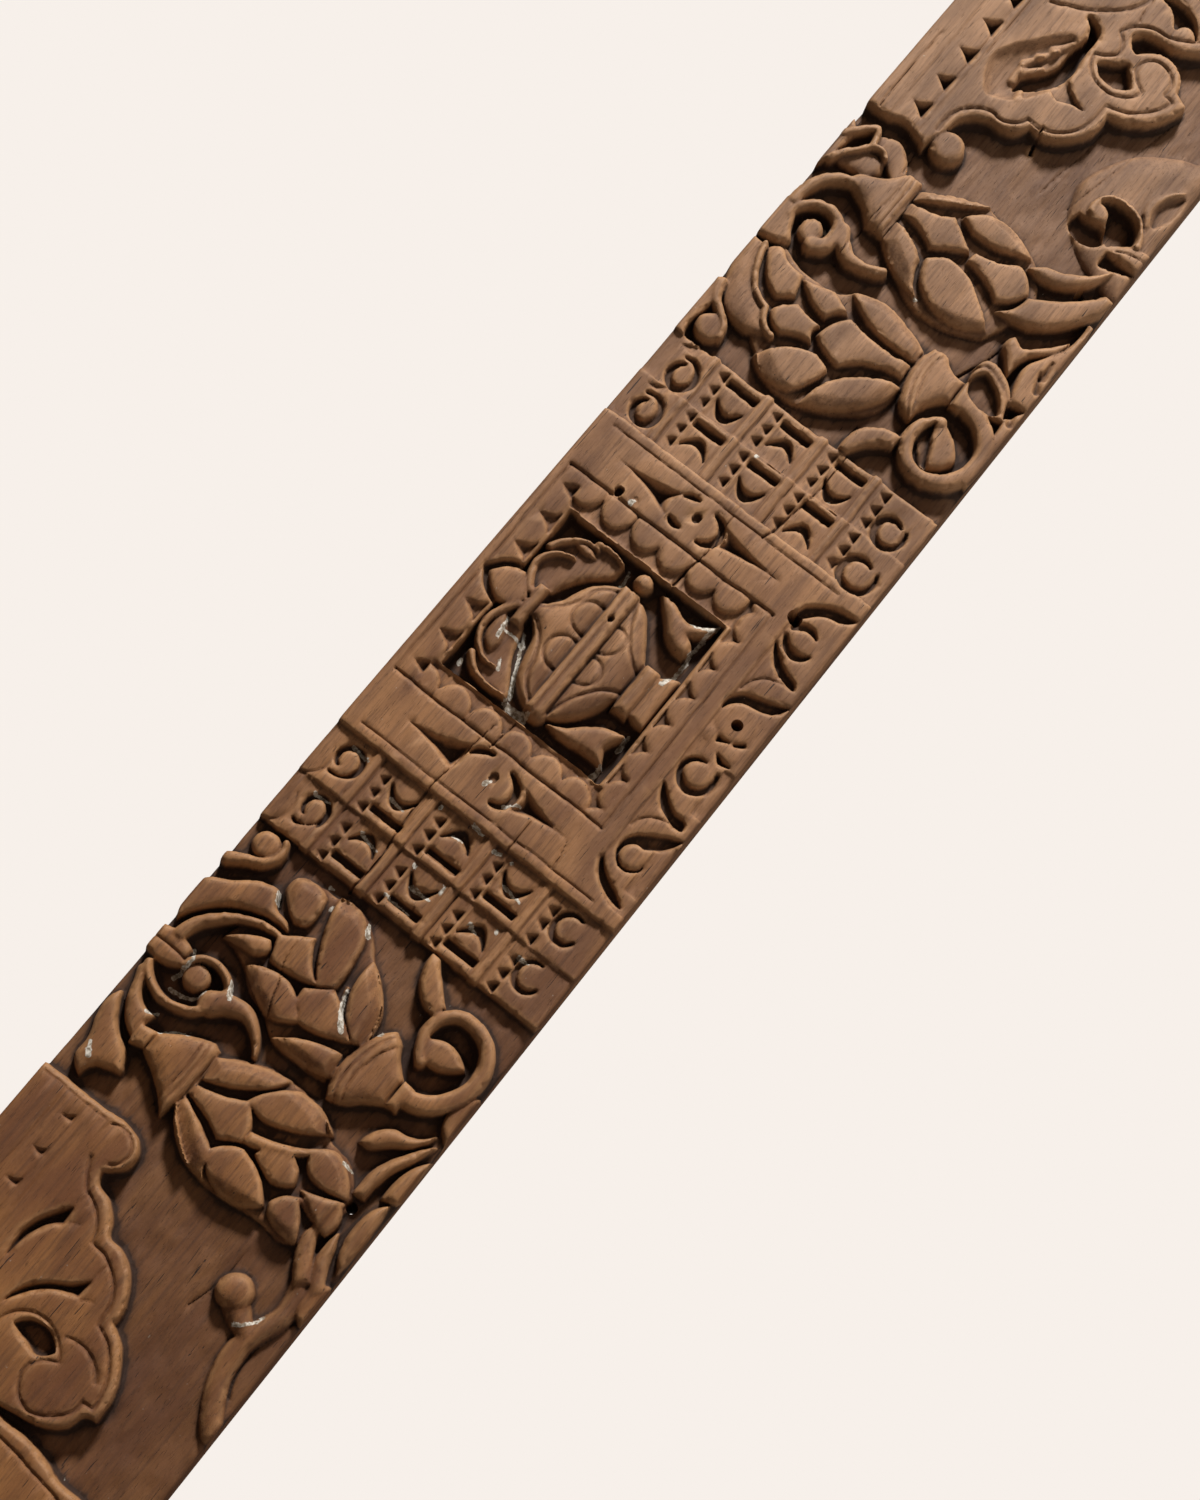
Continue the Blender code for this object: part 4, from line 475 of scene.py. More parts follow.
# Right: the forked leaf in the upper corner
face.swell(stroke((318, 86), (326, 82), (334, 76), (339, 72), (341, 66), (338.5, 61.5), width=4.0, tip=3.0), top=-0.9, rim=-2.4,
           shoulder=1.8)
face.swell(stroke((338, 72.5), (345, 73), (350.5, 75.5), (347.5, 80), (341, 85.5), (336, 90), width=3.5, tip=4.5), top=-0.9,
           rim=-2.4, shoulder=1.8)
petals(([(320, 86, 1), (330, 81), (338, 73), (337, 60, 1), (330, 58), (324, 62, 1), (321, 74)],), top=-5.5, rim=-8.0, shoulder=5.0)
petals(([(340, 71, 1), (350, 72), (355, 62), (349, 52), (339, 47), (332, 50), (338, 60)],), top=-6.5, rim=-8.5, shoulder=5.0)
petals(([(310, 91, 1), (318, 86, 1), (341, 84, 1), (350, 91, 1)],), top=-3.0, rim=-4.0, shoulder=2.0)

# Right: the leaves along the lower edge
petals((
    [(250, -82, 1), (251, -64), (257, -56), (265, -53.5), (270.5, -57, 1), (269, -67), (262, -78, 1)],
    [(266.5, -52.5, 1), (275.5, -56.5), (274.5, -66), (261, -80, 1), (268, -66), (270.5, -58)],
    [(275, -69, 1), (284, -62), (291, -56.5), (297, -59, 1), (294, -67), (300, -74), (314, -85, 1), (302, -82), (290, -72)],
    [(262, -80, 1), (274, -75), (286, -74), (296, -79), (308, -85), (330, -87, 1), (330, -91, 1), (262, -91, 1)],
), top=-1.2, rim=-2.6, shoulder=3.0)
petals(([(205, -86, 1), (228, -85.5), (252, -82, 1), (264, -91, 1), (205, -91, 1)],), top=-2.2, rim=-2.8, shoulder=3.0)
face.sink(outline((253, -58, 1), (262, -56), (267, -60, 1), (262, -70), (252, -78, 1), (249, -66)), floor=-9.0)
for middle, turn in ((256.0, 10.0), (281.0, 25.0), (290.0, -10.0)):
    face.score(stroke((middle - 5, -86 - turn * 0.05), (middle + 6, -84 + turn * 0.05), width=5.0, tip=2.0), 4.0)


# Left: the leaf and hanging lotus bud beside the cartouche
petals(([(-336.5, 74, 1), (-330, 82), (-320, 83), (-309, 86.5), (-299, 88), (-291, 85.5, 1), (-298, 81), (-304, 77), (-309, 72),
         (-313.5, 64), (-319, 60.5, 1), (-323.5, 59), (-326, 65), (-329, 71)],), top=-1.8, rim=-4.0, shoulder=5.0)
petals(([(-306.5, 66, 1), (-302, 74), (-295, 79.6), (-284, 84, 1), (-276, 87, 1), (-268, 83, 1), (-278, 80.4), (-286, 77), (-290.5, 71.5),
         (-291.5, 64, 1)],), top=-1.5, rim=-3.5, shoulder=4.0)
petals(([(-309, 65.5, 1), (-299, 66, 1), (-297, 57, 1), (-307, 57.5, 1)],))
cup([(-328.5, 29.5, 1), (-318, 41), (-308, 57.5, 1), (-297, 57, 1), (-290.5, 48), (-283, 31.5, 1), (-285, 27, 1), (-305, 25.5)],
    ([(-325, 36.5), (-305, 34.6), (-285, 36.4)], [(-327, 33), (-305, 31.3), (-283.5, 32.6)]))
lotus([(-317, 27, 1), (-331, 14), (-340.5, -4), (-341, -18), (-338, -40), (-338.5, -58), (-322, -71), (-300, -71, 1), (-287.5, -58),
       (-285, -44), (-276, -32), (-273.5, -14), (-276, 6), (-288, 27, 1)],
      ([(-319, 26.5, 1), (-313, 25.5, 1), (-319.5, 11), (-328, -4.5, 1), (-334, -3.5), (-339.5, -6.5, 1), (-336, 9)],
       [(-310.5, 25.5, 1), (-305, 25.5, 1), (-301.5, 12), (-295.5, -0.5, 1), (-300, -6), (-305.5, -9.5, 1), (-313.5, -10.5, 1),
        (-319.5, 0.5, 1), (-314.5, 12)],
       [(-301, 25, 1), (-289, 27, 1), (-279, 9), (-274, -10.5, 1), (-284, -5), (-293, 7)],
       [(-325, -1, 1), (-319, -6), (-315.5, -13.5, 1), (-320, -26), (-331, -38.5, 1), (-338, -30), (-339, -14), (-334, -5)],
       [(-295.5, 0, 1), (-284, -7), (-275.5, -19), (-276.5, -30), (-282.8, -43, 1), (-293, -28), (-298.3, -8)],
       [(-313, -11, 1), (-306.5, -10.8, 1), (-302, -26), (-290.5, -46, 1), (-298, -41), (-309, -24)],
       [(-313.5, -19, 1), (-308.5, -20.5, 1), (-302.5, -34.5, 1), (-307, -41), (-314.5, -44.5, 1), (-320, -35), (-318, -27)],
       [(-298.5, -41, 1), (-291, -45), (-288.5, -52), (-292, -60), (-303, -69.5, 1), (-307, -58), (-305, -46)],
       [(-327.5, -40, 1), (-321.5, -43.5), (-318, -50, 1), (-324, -56), (-335, -62, 1), (-336.5, -53), (-332.5, -43)],
       [(-314, -49, 1), (-310, -60), (-305.5, -69.5, 1), (-314, -70), (-323.5, -68.5, 1), (-319, -59)]))

# Left: the hooked leaf between the buds
face.swell(disc(-263.5, 60.0, 7.0), top=-3.0, rim=-5.0, shoulder=6.0)
face.swell(stroke((-272, 84), (-278, 79), (-282, 70), (-281.5, 59), (-276, 49), (-268.5, 43.5), (-262, 43), (-255, 47), (-252, 56),
                  (-255, 65), (-262, 69), width=4.5, tip=4.0), top=-0.8, rim=-3.5, shoulder=3.0)
face.swell(stroke((-269, 46), (-264, 38), (-262, 29), (-267, 19), (-276, 12), width=13.0, tip=2.0), top=-0.8, rim=-4.0, shoulder=6.0)

# Left: the standing lotus bud, its cup, and the stem that curls into a ring
lotus([(-264, -24, 1), (-266, -4), (-264, 10), (-258, 20), (-252, 36), (-243, 46), (-239, 64, 1), (-226, 60), (-214, 50), (-198, 55),
       (-190, 53), (-187, 42), (-186, 28), (-184, 18), (-190, 5), (-200, -4), (-215, -21), (-238, -27, 1)],
      ([(-263, 10.5, 1), (-254, -3), (-248.5, -21.5, 1), (-261, -24.5, 1), (-265, -6)],
       [(-241, 13.5, 1), (-234, 14.5, 1), (-225, 1.5, 1), (-232.5, -9), (-241.5, -21, 1), (-247, -8), (-249.5, 5.5, 1)],
       [(-241, -21.5, 1), (-230, -9.8), (-217, -4.2), (-201.5, -4, 1), (-213, -19), (-226, -26.5), (-239, -26, 1)],
       [(-242.5, 44, 1), (-237, 33), (-237.5, 20), (-241, 13.5, 1), (-249.7, 6, 1), (-256, 18), (-251, 33)],
       [(-229.5, 9.6, 1), (-216, 19.5), (-199, 27), (-186, 29, 1), (-184.5, 19), (-193, 7), (-208, 3.5), (-224, 1.5, 1)],
       [(-233.5, 37, 1), (-221, 42, 1), (-216, 35), (-210.5, 26.5, 1), (-221, 20), (-229, 10, 1), (-233, 21)],
       [(-211, 40, 1), (-205, 49), (-198, 54), (-191.5, 53, 1), (-188.5, 44), (-190.5, 35, 1), (-200, 32.8), (-209, 34.5)],
       [(-238, 63, 1), (-231, 55), (-225.5, 43, 1), (-230.5, 40), (-236.5, 45.5, 1)]), width=8.0)
face.swell(stroke((-250, 81), (-241, 77.5), (-233, 71), (-226.5, 63), (-222.5, 54), (-221, 42), width=7.5, tip=3.0), top=-0.8, rim=-2.4,
           shoulder=3.0)
face.swell(outline((-246, 88, 1), (-238, 91), (-222, 91), (-214, 79), (-203.5, 64), (-202.5, 57), (-211, 51), (-213.5, 42),
                   (-216.5, 40, 1), (-217.5, 54), (-224, 69.6), (-236, 82)), top=-1.0, rim=-3.5, shoulder=5.0)
face.swell(stroke((-240, -12), (-231, -6.5), (-220, -2.5), width=1.4), top=-4.0, rim=-5.0, shoulder=0.8)
cup([(-270, -29, 1), (-256, -23.8), (-243, -24.8), (-229, -30), (-221.5, -36, 1), (-225, -42.5, 1), (-233, -47.5), (-239.5, -54, 1),
     (-255.5, -54, 1), (-261, -45), (-269, -36)],
    ([(-270, -33), (-255, -28.5), (-241, -30), (-223, -39)], [(-269, -37), (-254, -33), (-241, -35), (-226, -43)]))
petals(([(-255, -54.5, 1), (-239.5, -55, 1), (-240, -61, 1), (-254.5, -60.5, 1)],))
face.swell(stroke((-246, -60), (-243, -69), (-236, -77), (-224, -83), (-210, -82.5), (-200, -76), (-195.5, -66), (-197, -54),
                  (-206, -48), (-217, -48.5), (-227, -55), width=10.0, tip=5.0), top=-0.8, rim=-2.6, shoulder=4.0)
face.swell(outline((-223.5, -50, 1), (-215, -50.5, 1), (-210.5, -58.8), (-211, -66.5), (-217, -75, 1), (-223, -68.5), (-226, -59.6)),
           top=-2.4, rim=-4.5, shoulder=5.0)
face.swell(outline((-179, -25, 1), (-191, -26.5), (-203, -38), (-204.5, -45.5, 1), (-197, -47.5, 1), (-188, -37), (-179, -29.5, 1)),
           top=-1.4, rim=-3.0, shoulder=3.0)
face.swell(disc(-188.0, 76.5, 7.4), top=-2.2, rim=-4.5, shoulder=4.0)
face.swell(stroke((-206, 88), (-201, 80), (-197.5, 73), (-191, 67.5), (-181, 69), width=6.5, tip=3.0), top=-1.0, rim=-2.6, shoulder=2.4)
petals(([(-266, 91, 1), (-268, 78), (-264, 70, 1), (-254, 71, 1), (-251, 80), (-252, 91, 1)],), top=-2.0, rim=-3.4, shoulder=3.0)
face.score(stroke((-259.5, 91), (-259, 80), (-260, 70), width=1.6), 2.0)

# Left: the leaves along the lower edge, lapped over each other below the hanging bud
face.swell(outline((-318, -49, 1), (-311.5, -58), (-307, -69, 1), (-312, -73), (-324, -72, 1), (-321.5, -60)), top=-3.0, rim=-5.0,
           shoulder=4.0)
petals((
    [(-352, -75, 1), (-341, -66.5), (-329, -62.5), (-318.5, -65.5, 1), (-326, -69), (-337, -75), (-346, -82, 1)],
    [(-353, -85, 1), (-342, -78), (-330, -74.5), (-318, -76.5, 1), (-325, -80), (-337, -84), (-345, -89, 1)],
    [(-334, -88, 1), (-323, -82), (-312, -80.5), (-301, -82), (-292, -87.5, 1), (-310, -90)],
    [(-299, -69.5, 1), (-287, -69), (-275, -73), (-264, -79.5), (-255, -87, 1), (-268, -83.5), (-282, -77.5), (-298, -76, 1)],
    [(-277, -55.5, 1), (-268, -58), (-261.5, -65), (-259.5, -73), (-251, -84, 1), (-262, -79), (-270, -69), (-276.6, -61)],
    [(-292, -82, 1), (-281, -82), (-270, -85), (-262, -91, 1), (-290, -91, 1)],
    [(-252, -90, 1), (-243, -82), (-231, -83), (-222, -91, 1)],
), top=-3.6, rim=-6.0, shoulder=5.0)

# Right: the cartouche block with its lobed lower edge
right_edge = outline(
    (361, 95, 1), (361, 75), (364, 66), (361.5, 57), (358.5, 49.5, 1), (377, 44.5, 1), (385, 43), (392, 37.5), (396, 30),
    (397, 21), (401, 13.5), (408.5, 9.5, 1), (408.5, 2), (412, -8), (419, -15), (428, -20), (436, -21.5), (443.5, -20.5, 1),
    (446, -29), (452, -38), (460, -46), (468, -50), (478, -52.5, 1), (482, -44, 1), (489, -42), (495.5, -35), (497.5, -27),
    (494.5, -18), (487.5, -11, 1), (491, -6), (496, -4, 1), (501, -7), (504, -16), (505.5, -28), (511, -38), (520, -48), (533, -55),
    (560, -58, 1), (560, 95, 1))
face.swell(right_edge, top=0.0, rim=-1.2, shoulder=2.5)
face.sink(outline((467.5, 2, 1), (462, -4), (461.5, -14), (466, -21, 1), (472, -17), (478.5, -12, 1), (474, -6), (471, -1)), floor=-9.0)
face.sink(outline((528, 0, 1), (531.5, -10), (530, -22), (518.5, -33, 1), (523, -26), (517, -19, 1), (524.5, -13)), floor=-9.0)
score_all(2.2,
          stroke((371, 48.7), (380, 49), (390, 46), (397, 40), (401, 32.5), (400, 25), (403.5, 17.5), (410.5, 13, 1), (411, 3),
                 (416, -7), (424, -13), (433, -15.7), (447.5, -16.5, 1), (449.5, -24), (455, -33), (463, -40), (474.5, -45, 1),
                 (476, -39, 1), (484, -38.5), (490, -33), (491.5, -26), (488.5, -19.5), (481.5, -17), (474.5, -20),
                 (469, -28, 1), (463, -26), (457, -18), (455.5, -8), (458.5, 0), (464.5, 5.5), (471, 7.5, 1), (475, 1), (481, -3.5),
                 (487, -2), (492.5, 3.5, 1), (501, -1), (507, -9), (509, -21), (516, -33), (530, -44), (552, -50), width=2.4),
          stroke((482, 47), (489, 32), (497, 20), (506, 10), (517, 4), (535, 1), (552, 0), width=3.2),
          stroke((362, 83), (400, 83.5), (425, 82.5), width=1.0), stroke((505, -1), (517, 1), (528, 1), width=1.0))
score_all(1.0, stroke((361, 75), (552, 75), width=1.2), stroke((361, 60), (552, 60), width=1.2),
          stroke((364, 56), (552, 55.5), width=1.4), stroke((517, -19), (509, -20.5), width=1.2))


def pointed_row(middles, top, foot, half):
    """A row of notches between hanging tongues: a point above, sides that curve out to the foot."""
    for middle in middles:
        face.vee(outline((middle - half, foot, 1), (middle + half, foot, 1), (middle + 0.3 * half, (top + foot) / 2),
                         (middle, top, 1), (middle - 0.3 * half, (top + foot) / 2)), slope=2.6, deepest=7.0)


pointed_row((377.0, 399.8, 422.5, 446.5, 470.0, 494.0, 518.0, 542.0), 71.0, 59.0, 8.5)
face.swell(disc(367.5, 38.0, 10.5, 0.95), top=-0.8, rim=-4.0, shoulder=6.0)
face.sink(outline((431.5, 7, 1), (437, 14), (448, 11, 1), (440.5, 2), (436, -8, 1), (435, 0)), floor=-4.0)
face.swell(outline((436, -8, 1), (441, 2), (449, 9.5), (462, 13.5), (478, 12.5, 1), (470, 8), (460, 4), (454, -4), (448, -10)),
           top=-0.2, rim=-1.5, shoulder=6.0)

# Right: the knot that has rotted out, with a split running from it
face.sink(outline((411, 40, 1), (421, 47), (431, 49.5), (443, 45), (455, 36), (467, 27), (471, 22.5, 1), (458, 15), (444, 12), (432, 18),
                  (418, 28)), floor=-4.0, steep=1.2, dish=3.5)
for knob_u, knob_v, knob_turn in ((424, 27, 0.3), (433, 35.5, 0.1), (446, 33, -0.6), (455, 28, -0.7), (464, 24.5, -0.6), (441, 29, -0.7)):
    face.heap(stroke((knob_u - 5, knob_v - 5 * knob_turn), (knob_u + 5, knob_v + 5 * knob_turn), width=6.0, tip=3.5), 3.0)
face.sink(outline((424, 31, 1), (433, 30.5), (443, 24), (452, 19.5), (466, 18.5), (481, 16), (489.5, 23, 1), (485, 14), (470, 13.2),
                  (452, 11.5), (442, 14), (432, 22)), floor=-14.0)

# Right: the curled frond in the lower corner, where the ground rises to the edge and is hollowed out again
face.swell(outline((350, -95, 1), (362, -62), (380, -40), (402, -33), (430, -42), (452, -64), (462, -95, 1)), top=-4.5, rim=-12.5,
           shoulder=20.0)
face.swell(disc(390.5, -53.0, 6.4), top=-1.2, rim=-4.0, shoulder=3.0)
face.swell(stroke((389, -47.5), (396, -47.5), (402, -52), (404.8, -60), (403.2, -69), (397, -76), (387, -80.5), width=3.4, tip=4.4),
           top=-0.8, rim=-2.0, shoulder=1.6)
face.sink(outline((374, -47, 1), (378, -42.5), (385, -43.5, 1), (383.5, -50), (385, -57, 1), (381, -64), (375, -62), (372, -55)),
          floor=-15.0)
face.sink(outline((397.5, -50, 1), (402, -56), (402.5, -64), (399, -72), (388, -77.5, 1), (384, -73), (379, -67, 1), (389, -60),
                  (395, -57)), floor=-15.0)
face.sink(outline((366, -70, 1), (374, -70, 1), (373, -78), (373, -89, 1), (369, -82)), floor=-12.5)
petals((
    [(373, -91, 1), (373.5, -80), (374.5, -70, 1), (381, -73), (386, -81), (388, -91, 1)],
    [(400, -77.5, 1), (409, -70), (419, -69.5), (428, -75.5), (435, -84, 1), (420, -82.5), (409, -81.5)],
), top=-2.4, rim=-5.0, shoulder=3.0)
face.sink(outline((406, -80.5, 1), (413, -78), (423, -80), (430, -85, 1), (416, -85)), floor=-8.5, steep=1.6)
for hollow_line in ([(377, -73), (380, -80), (381, -90)], [(406, -72), (398, -78), (388, -82)]):
    face.score(stroke(*hollow_line, width=1.8, tip=1.0), 2.0)

# Left: the cartouche block
left_edge = outline(
    (-342.5, 95, 1), (-342.5, 50, 1), (-341.5, 40), (-343.5, 31), (-350, 25.5), (-357, 25), (-363, 29.5), (-366.5, 33.5, 1),
    (-372, 31), (-375.5, 22), (-382, 14), (-389, 9), (-390, 2), (-393.5, -6), (-401, -13), (-411, -18), (-419.5, -19, 1), (-425, -27),
    (-434, -34.5), (-446, -40.5), (-459.5, -41.5, 1), (-460.5, -36.5), (-470, -32.5), (-477, -23), (-479.5, -12), (-482, 0),
    (-483.5, 8, 1), (-486, -5), (-485.5, -20), (-488, -35), (-492, -48), (-493, -62), (-502, -72), (-516, -76), (-560, -77, 1),
    (-560, 95, 1))
face.swell(left_edge, top=0.0, rim=-1.2, shoulder=2.5)
score_all(1.8,
          stroke((-364.5, 42), (-371, 38.5), (-378.5, 33, 1), (-382, 25), (-388, 18), (-396.5, 14, 1), (-397, 6), (-401.5, -3),
                 (-410, -10.5), (-424.5, -13.5, 1), (-428, -22), (-436, -30), (-446, -35), (-456, -37, 1), (-456.5, -31, 1),
                 (-464, -29.5), (-472.5, -22), (-475.5, -11), (-470.5, -3), (-461.5, 0.5), (-454, -3), (-449.5, -10.5, 1), (-441, -2),
                 (-438, 8), (-441, 18), (-450, 25.5), (-462, 27), (-476, 22), (-490, 12), (-510, 8), (-552, 6), width=2.2),
          arc(-456, -13.0, 19.5, 25, -60, width=1.6, tip=3.2),
          arc(-354, 38.0, 10.0, 40, -150, width=2.0),
          stroke((-493, -2), (-493.5, -20), (-496, -38), (-500, -56), (-510, -68), (-552, -71), width=2.0))
score_all(1.0, stroke((-552, 72.8), (-346, 72.8), width=1.6), stroke((-552, 60), (-346, 60), width=1.4),
          stroke((-552, 55), (-346, 54.5), width=1.4), stroke((-346, 88), (-346, 48), width=1.2),
          stroke((-389, 32.5), (-372.5, 31), width=1.2), stroke((-396, 31), (-393, 24), width=2.4, tip=1.0),
          stroke((-411, 2), (-401, 1), width=1.2), stroke((-420.5, 0.5), (-417.5, -6), width=2.4, tip=1.0))
for edge in ([(-430, 42, 1), (-418, 45), (-405, 43.5), (-395, 38), (-387.5, 32, 1), (-398, 30.5, 1), (-402.5, 35.5), (-412, 40)],
             [(-446, 30, 1), (-435, 28.5), (-424.5, 20), (-416.5, 9.5), (-409.5, 1.2, 1), (-420.5, 2, 1), (-423.5, 11), (-431, 20.5)]):
    face.vee(outline(*edge), slope=3.4, deepest=8.0)
face.sink(outline((-448, 18, 1), (-443, 13), (-441.5, 3), (-447, -5, 1), (-452.5, 0), (-451, 8)), floor=-8.5)
for middle in (-357.5, -378.0, -397.5, -418.0, -438.0, -458.0, -478.0, -498.0, -518.0, -538.0):
    face.vee(outline((middle - 1.0, 60, 1), (middle + 9, 59.5, 1), (middle + 2.5, 62.5), (middle + 0.5, 69, 1), (middle - 1.0, 64)),
             slope=2.0, deepest=3.5)

# Left: the ball on its thick wavy stem, on the ground by the lower edge
face.swell(stroke((-374, -56), (-380, -64), (-384, -72), width=15.0, tip=11.0), top=-6.0, rim=-11.5, shoulder=7.0)
face.swell(disc(-371.5, -54.0, 9.4), top=-2.6, rim=-8.0, shoulder=8.5)
face.swell(stroke((-430, -88), (-417, -79), (-404, -73.5), (-391, -72.5), (-379, -76), (-366, -80), (-352, -78.5), (-338, -72),
                  width=12.0, tip=11.0), top=-6.4, rim=-11.5, shoulder=6.0)
face.swell(outline((-366, -92, 1), (-362, -84), (-351, -80.5), (-343, -84), (-340, -92, 1)), top=-5.5, rim=-9.0, shoulder=4.0)
face.score(stroke((-412, -84), (-402, -79.5), (-391, -78.5), (-377, -82), (-364, -87), width=2.6, tip=1.6), 2.2)

# Hand work and wear
# The gouge leaves the ground uneven and the forms never quite true, and two centuries of touch and weather have
# rounded every edge, opened the grain and split the board along it.


def rough(size_u, size_v, seed):
    """Smooth random heights from about -1 to 1, with lumps of a size along and across the board."""
    chance = np.random.default_rng(seed)
    knots_u = np.arange(-LENGTH / 2 - size_u, LENGTH / 2 + 2 * size_u, size_u)
    knots_v = np.arange(-HEIGHT / 2 - size_v, HEIGHT / 2 + 2 * size_v, size_v)
    lumps = chance.uniform(-1.0, 1.0, (len(knots_v), len(knots_u)))
    for axis, knots, places in ((0, knots_v, face.v), (1, knots_u, face.u)):
        at = (places - knots[0]) / (knots[1] - knots[0])
        left = np.clip(at.astype(int), 0, len(knots) - 2)
        t = at - left
        t = t * t * (3.0 - 2.0 * t)
        t = t[:, None] if axis == 0 else t[None, :]
        lumps = lumps.take(left, axis) * (1.0 - t) + lumps.take(left + 1, axis) * t
    return lumps


def soften(depths, reach):
    """Average depths over a square of about twice the reach, in millimetres."""
    steps = max(1, int(round(reach / CELL)))
    for axis in (0, 1):
        for _ in range(2):
            padded = np.concatenate([np.repeat(depths.take([0], axis), steps + 1, axis), depths,
                                     np.repeat(depths.take([-1], axis), steps, axis)], axis)
            total = np.cumsum(padded, axis)
            width = 2 * steps + 1
            count = depths.shape[axis]
            depths = (total.take(range(width, width + count), axis) - total.take(range(count), axis)) / width
    return depths


def shift(layer, by_u, by_v):
    """A layer over the face, each point read from beside it by two layers of millimetres."""
    along = np.clip((face.u[None, :] + by_u - face.u[0]) / (face.u[1] - face.u[0]), 0, len(face.u) - 1.001)
    across = np.clip((face.v[:, None] + by_v - face.v[0]) / (face.v[1] - face.v[0]), 0, len(face.v) - 1.001)
    column, row = along.astype(int), across.astype(int)
    along, across = along - column, across - row
    lower = layer[row, column] * (1 - along) + layer[row, column + 1] * along
    upper = layer[row + 1, column] * (1 - along) + layer[row + 1, column + 1] * along
    return lower * (1 - across) + upper * across


face.w = shift(face.w, 0.5 * rough(17.0, 14.0, 11) + 0.22 * rough(5.0, 4.0, 12),
               0.5 * rough(19.0, 15.0, 13) + 0.22 * rough(6.0, 4.0, 14))
deep = np.clip(-face.w / 11.0, 0.0, 1.0)
face.w += 0.22 * rough(14.0, 7.0, 1) + 0.14 * rough(4.0, 2.5, 2)
face.w += deep * (0.7 * rough(26.0, 9.0, 3) + 0.5 * rough(9.0, 5.0, 4))
face.w += 0.12 * rough(30.0, 1.6, 5) + 0.08 * rough(60.0, 0.9, 6)
edges = np.clip(face.w - soften(face.w, 1.4), 0.0, 1.5)
face.w -= 0.35 * edges + 0.9 * edges * np.clip(rough(3.2, 2.0, 8) + 0.6 * rough(12.0, 7.0, 9) - 0.15, 0.0, 1.0)
edge_u = LENGTH / 2 - np.abs(face.u)[None, :]
edge_v = HEIGHT / 2 - np.abs(face.v)[:, None] + 0.35 * rough(20.0, 40.0, 7)
face.w -= 1.4 * np.exp(-np.maximum(edge_v, 0.0) / 1.1) + 0.5 * np.exp(-edge_u / 1.0)
splits = (
    ([(-180, 29), (-160, 27.5), (-135, 30), (-110, 30.5), (-96, 28.5), (-82, 27.5), (-64, 25)], 1.6, 2.6),
    ([(-76, 20), (-66, 18.5), (-56, 18)], 1.6, 2.4),
    ([(55, 0.5), (66, -0.5), (78, -2.5), (90, -4)], 1.8, 3.0),
    ([(90, -4), (98, -2), (108, -1.5), (116, -1)], 1.2, 1.6),
    ([(109, -21), (113, -22.5), (122, -24), (134, -25.5), (152, -28), (166, -28.5), (180, -28)], 1.8, 2.6),
    ([(257, -46), (266, -49.5), (278, -54), (292, -57)], 2.0, 3.0),
    ([(270, 46), (285, 47), (298, 46.5), (310, 45), (330, 45), (342, 46)], 1.2, 1.6),
    ([(340, 49), (352, 51), (362, 52.5)], 1.3, 1.6),
    ([(400, 0.5), (406, 2), (413, 3.5)], 2.2, 5.0),
    ([(200, -21.5), (190, -21.5), (179, -21)], 1.2, 2.0),
    ([(-114, -21), (-100, -21.5), (-92, -21)], 1.3, 1.8),
    ([(-107, -45), (-98, -44), (-90, -42)], 1.3, 1.8),
    ([(384, -18), (402, -20), (420, -23), (430, -24)], 1.1, 1.2),
    ([(386, -36), (410, -42), (440, -47), (470, -53)], 1.1, 1.2),
    ([(-256, 20), (-248, 23.5), (-240, 26), (-232, 30), (-214, 31)], 1.3, 1.8),
    ([(-390, -40), (-376, -44), (-352, -46)], 1.2, 1.4),
)
for split, width, depth in splits:
    face.score(stroke(*split, width=width, tip=0.5 * width), depth)
for u, v, radius, depth in ((80.7, 54.7, 3.0, 6.0), (80.7, 45.0, 3.2, 0.8), (20.4, 14.2, 2.0, 4.0), (95.0, 13.0, 3.2, 3.5),
                            (-88.0, 8.0, 3.2, 2.5)):
    face.score(disc(u, v, radius, 0.85), depth)

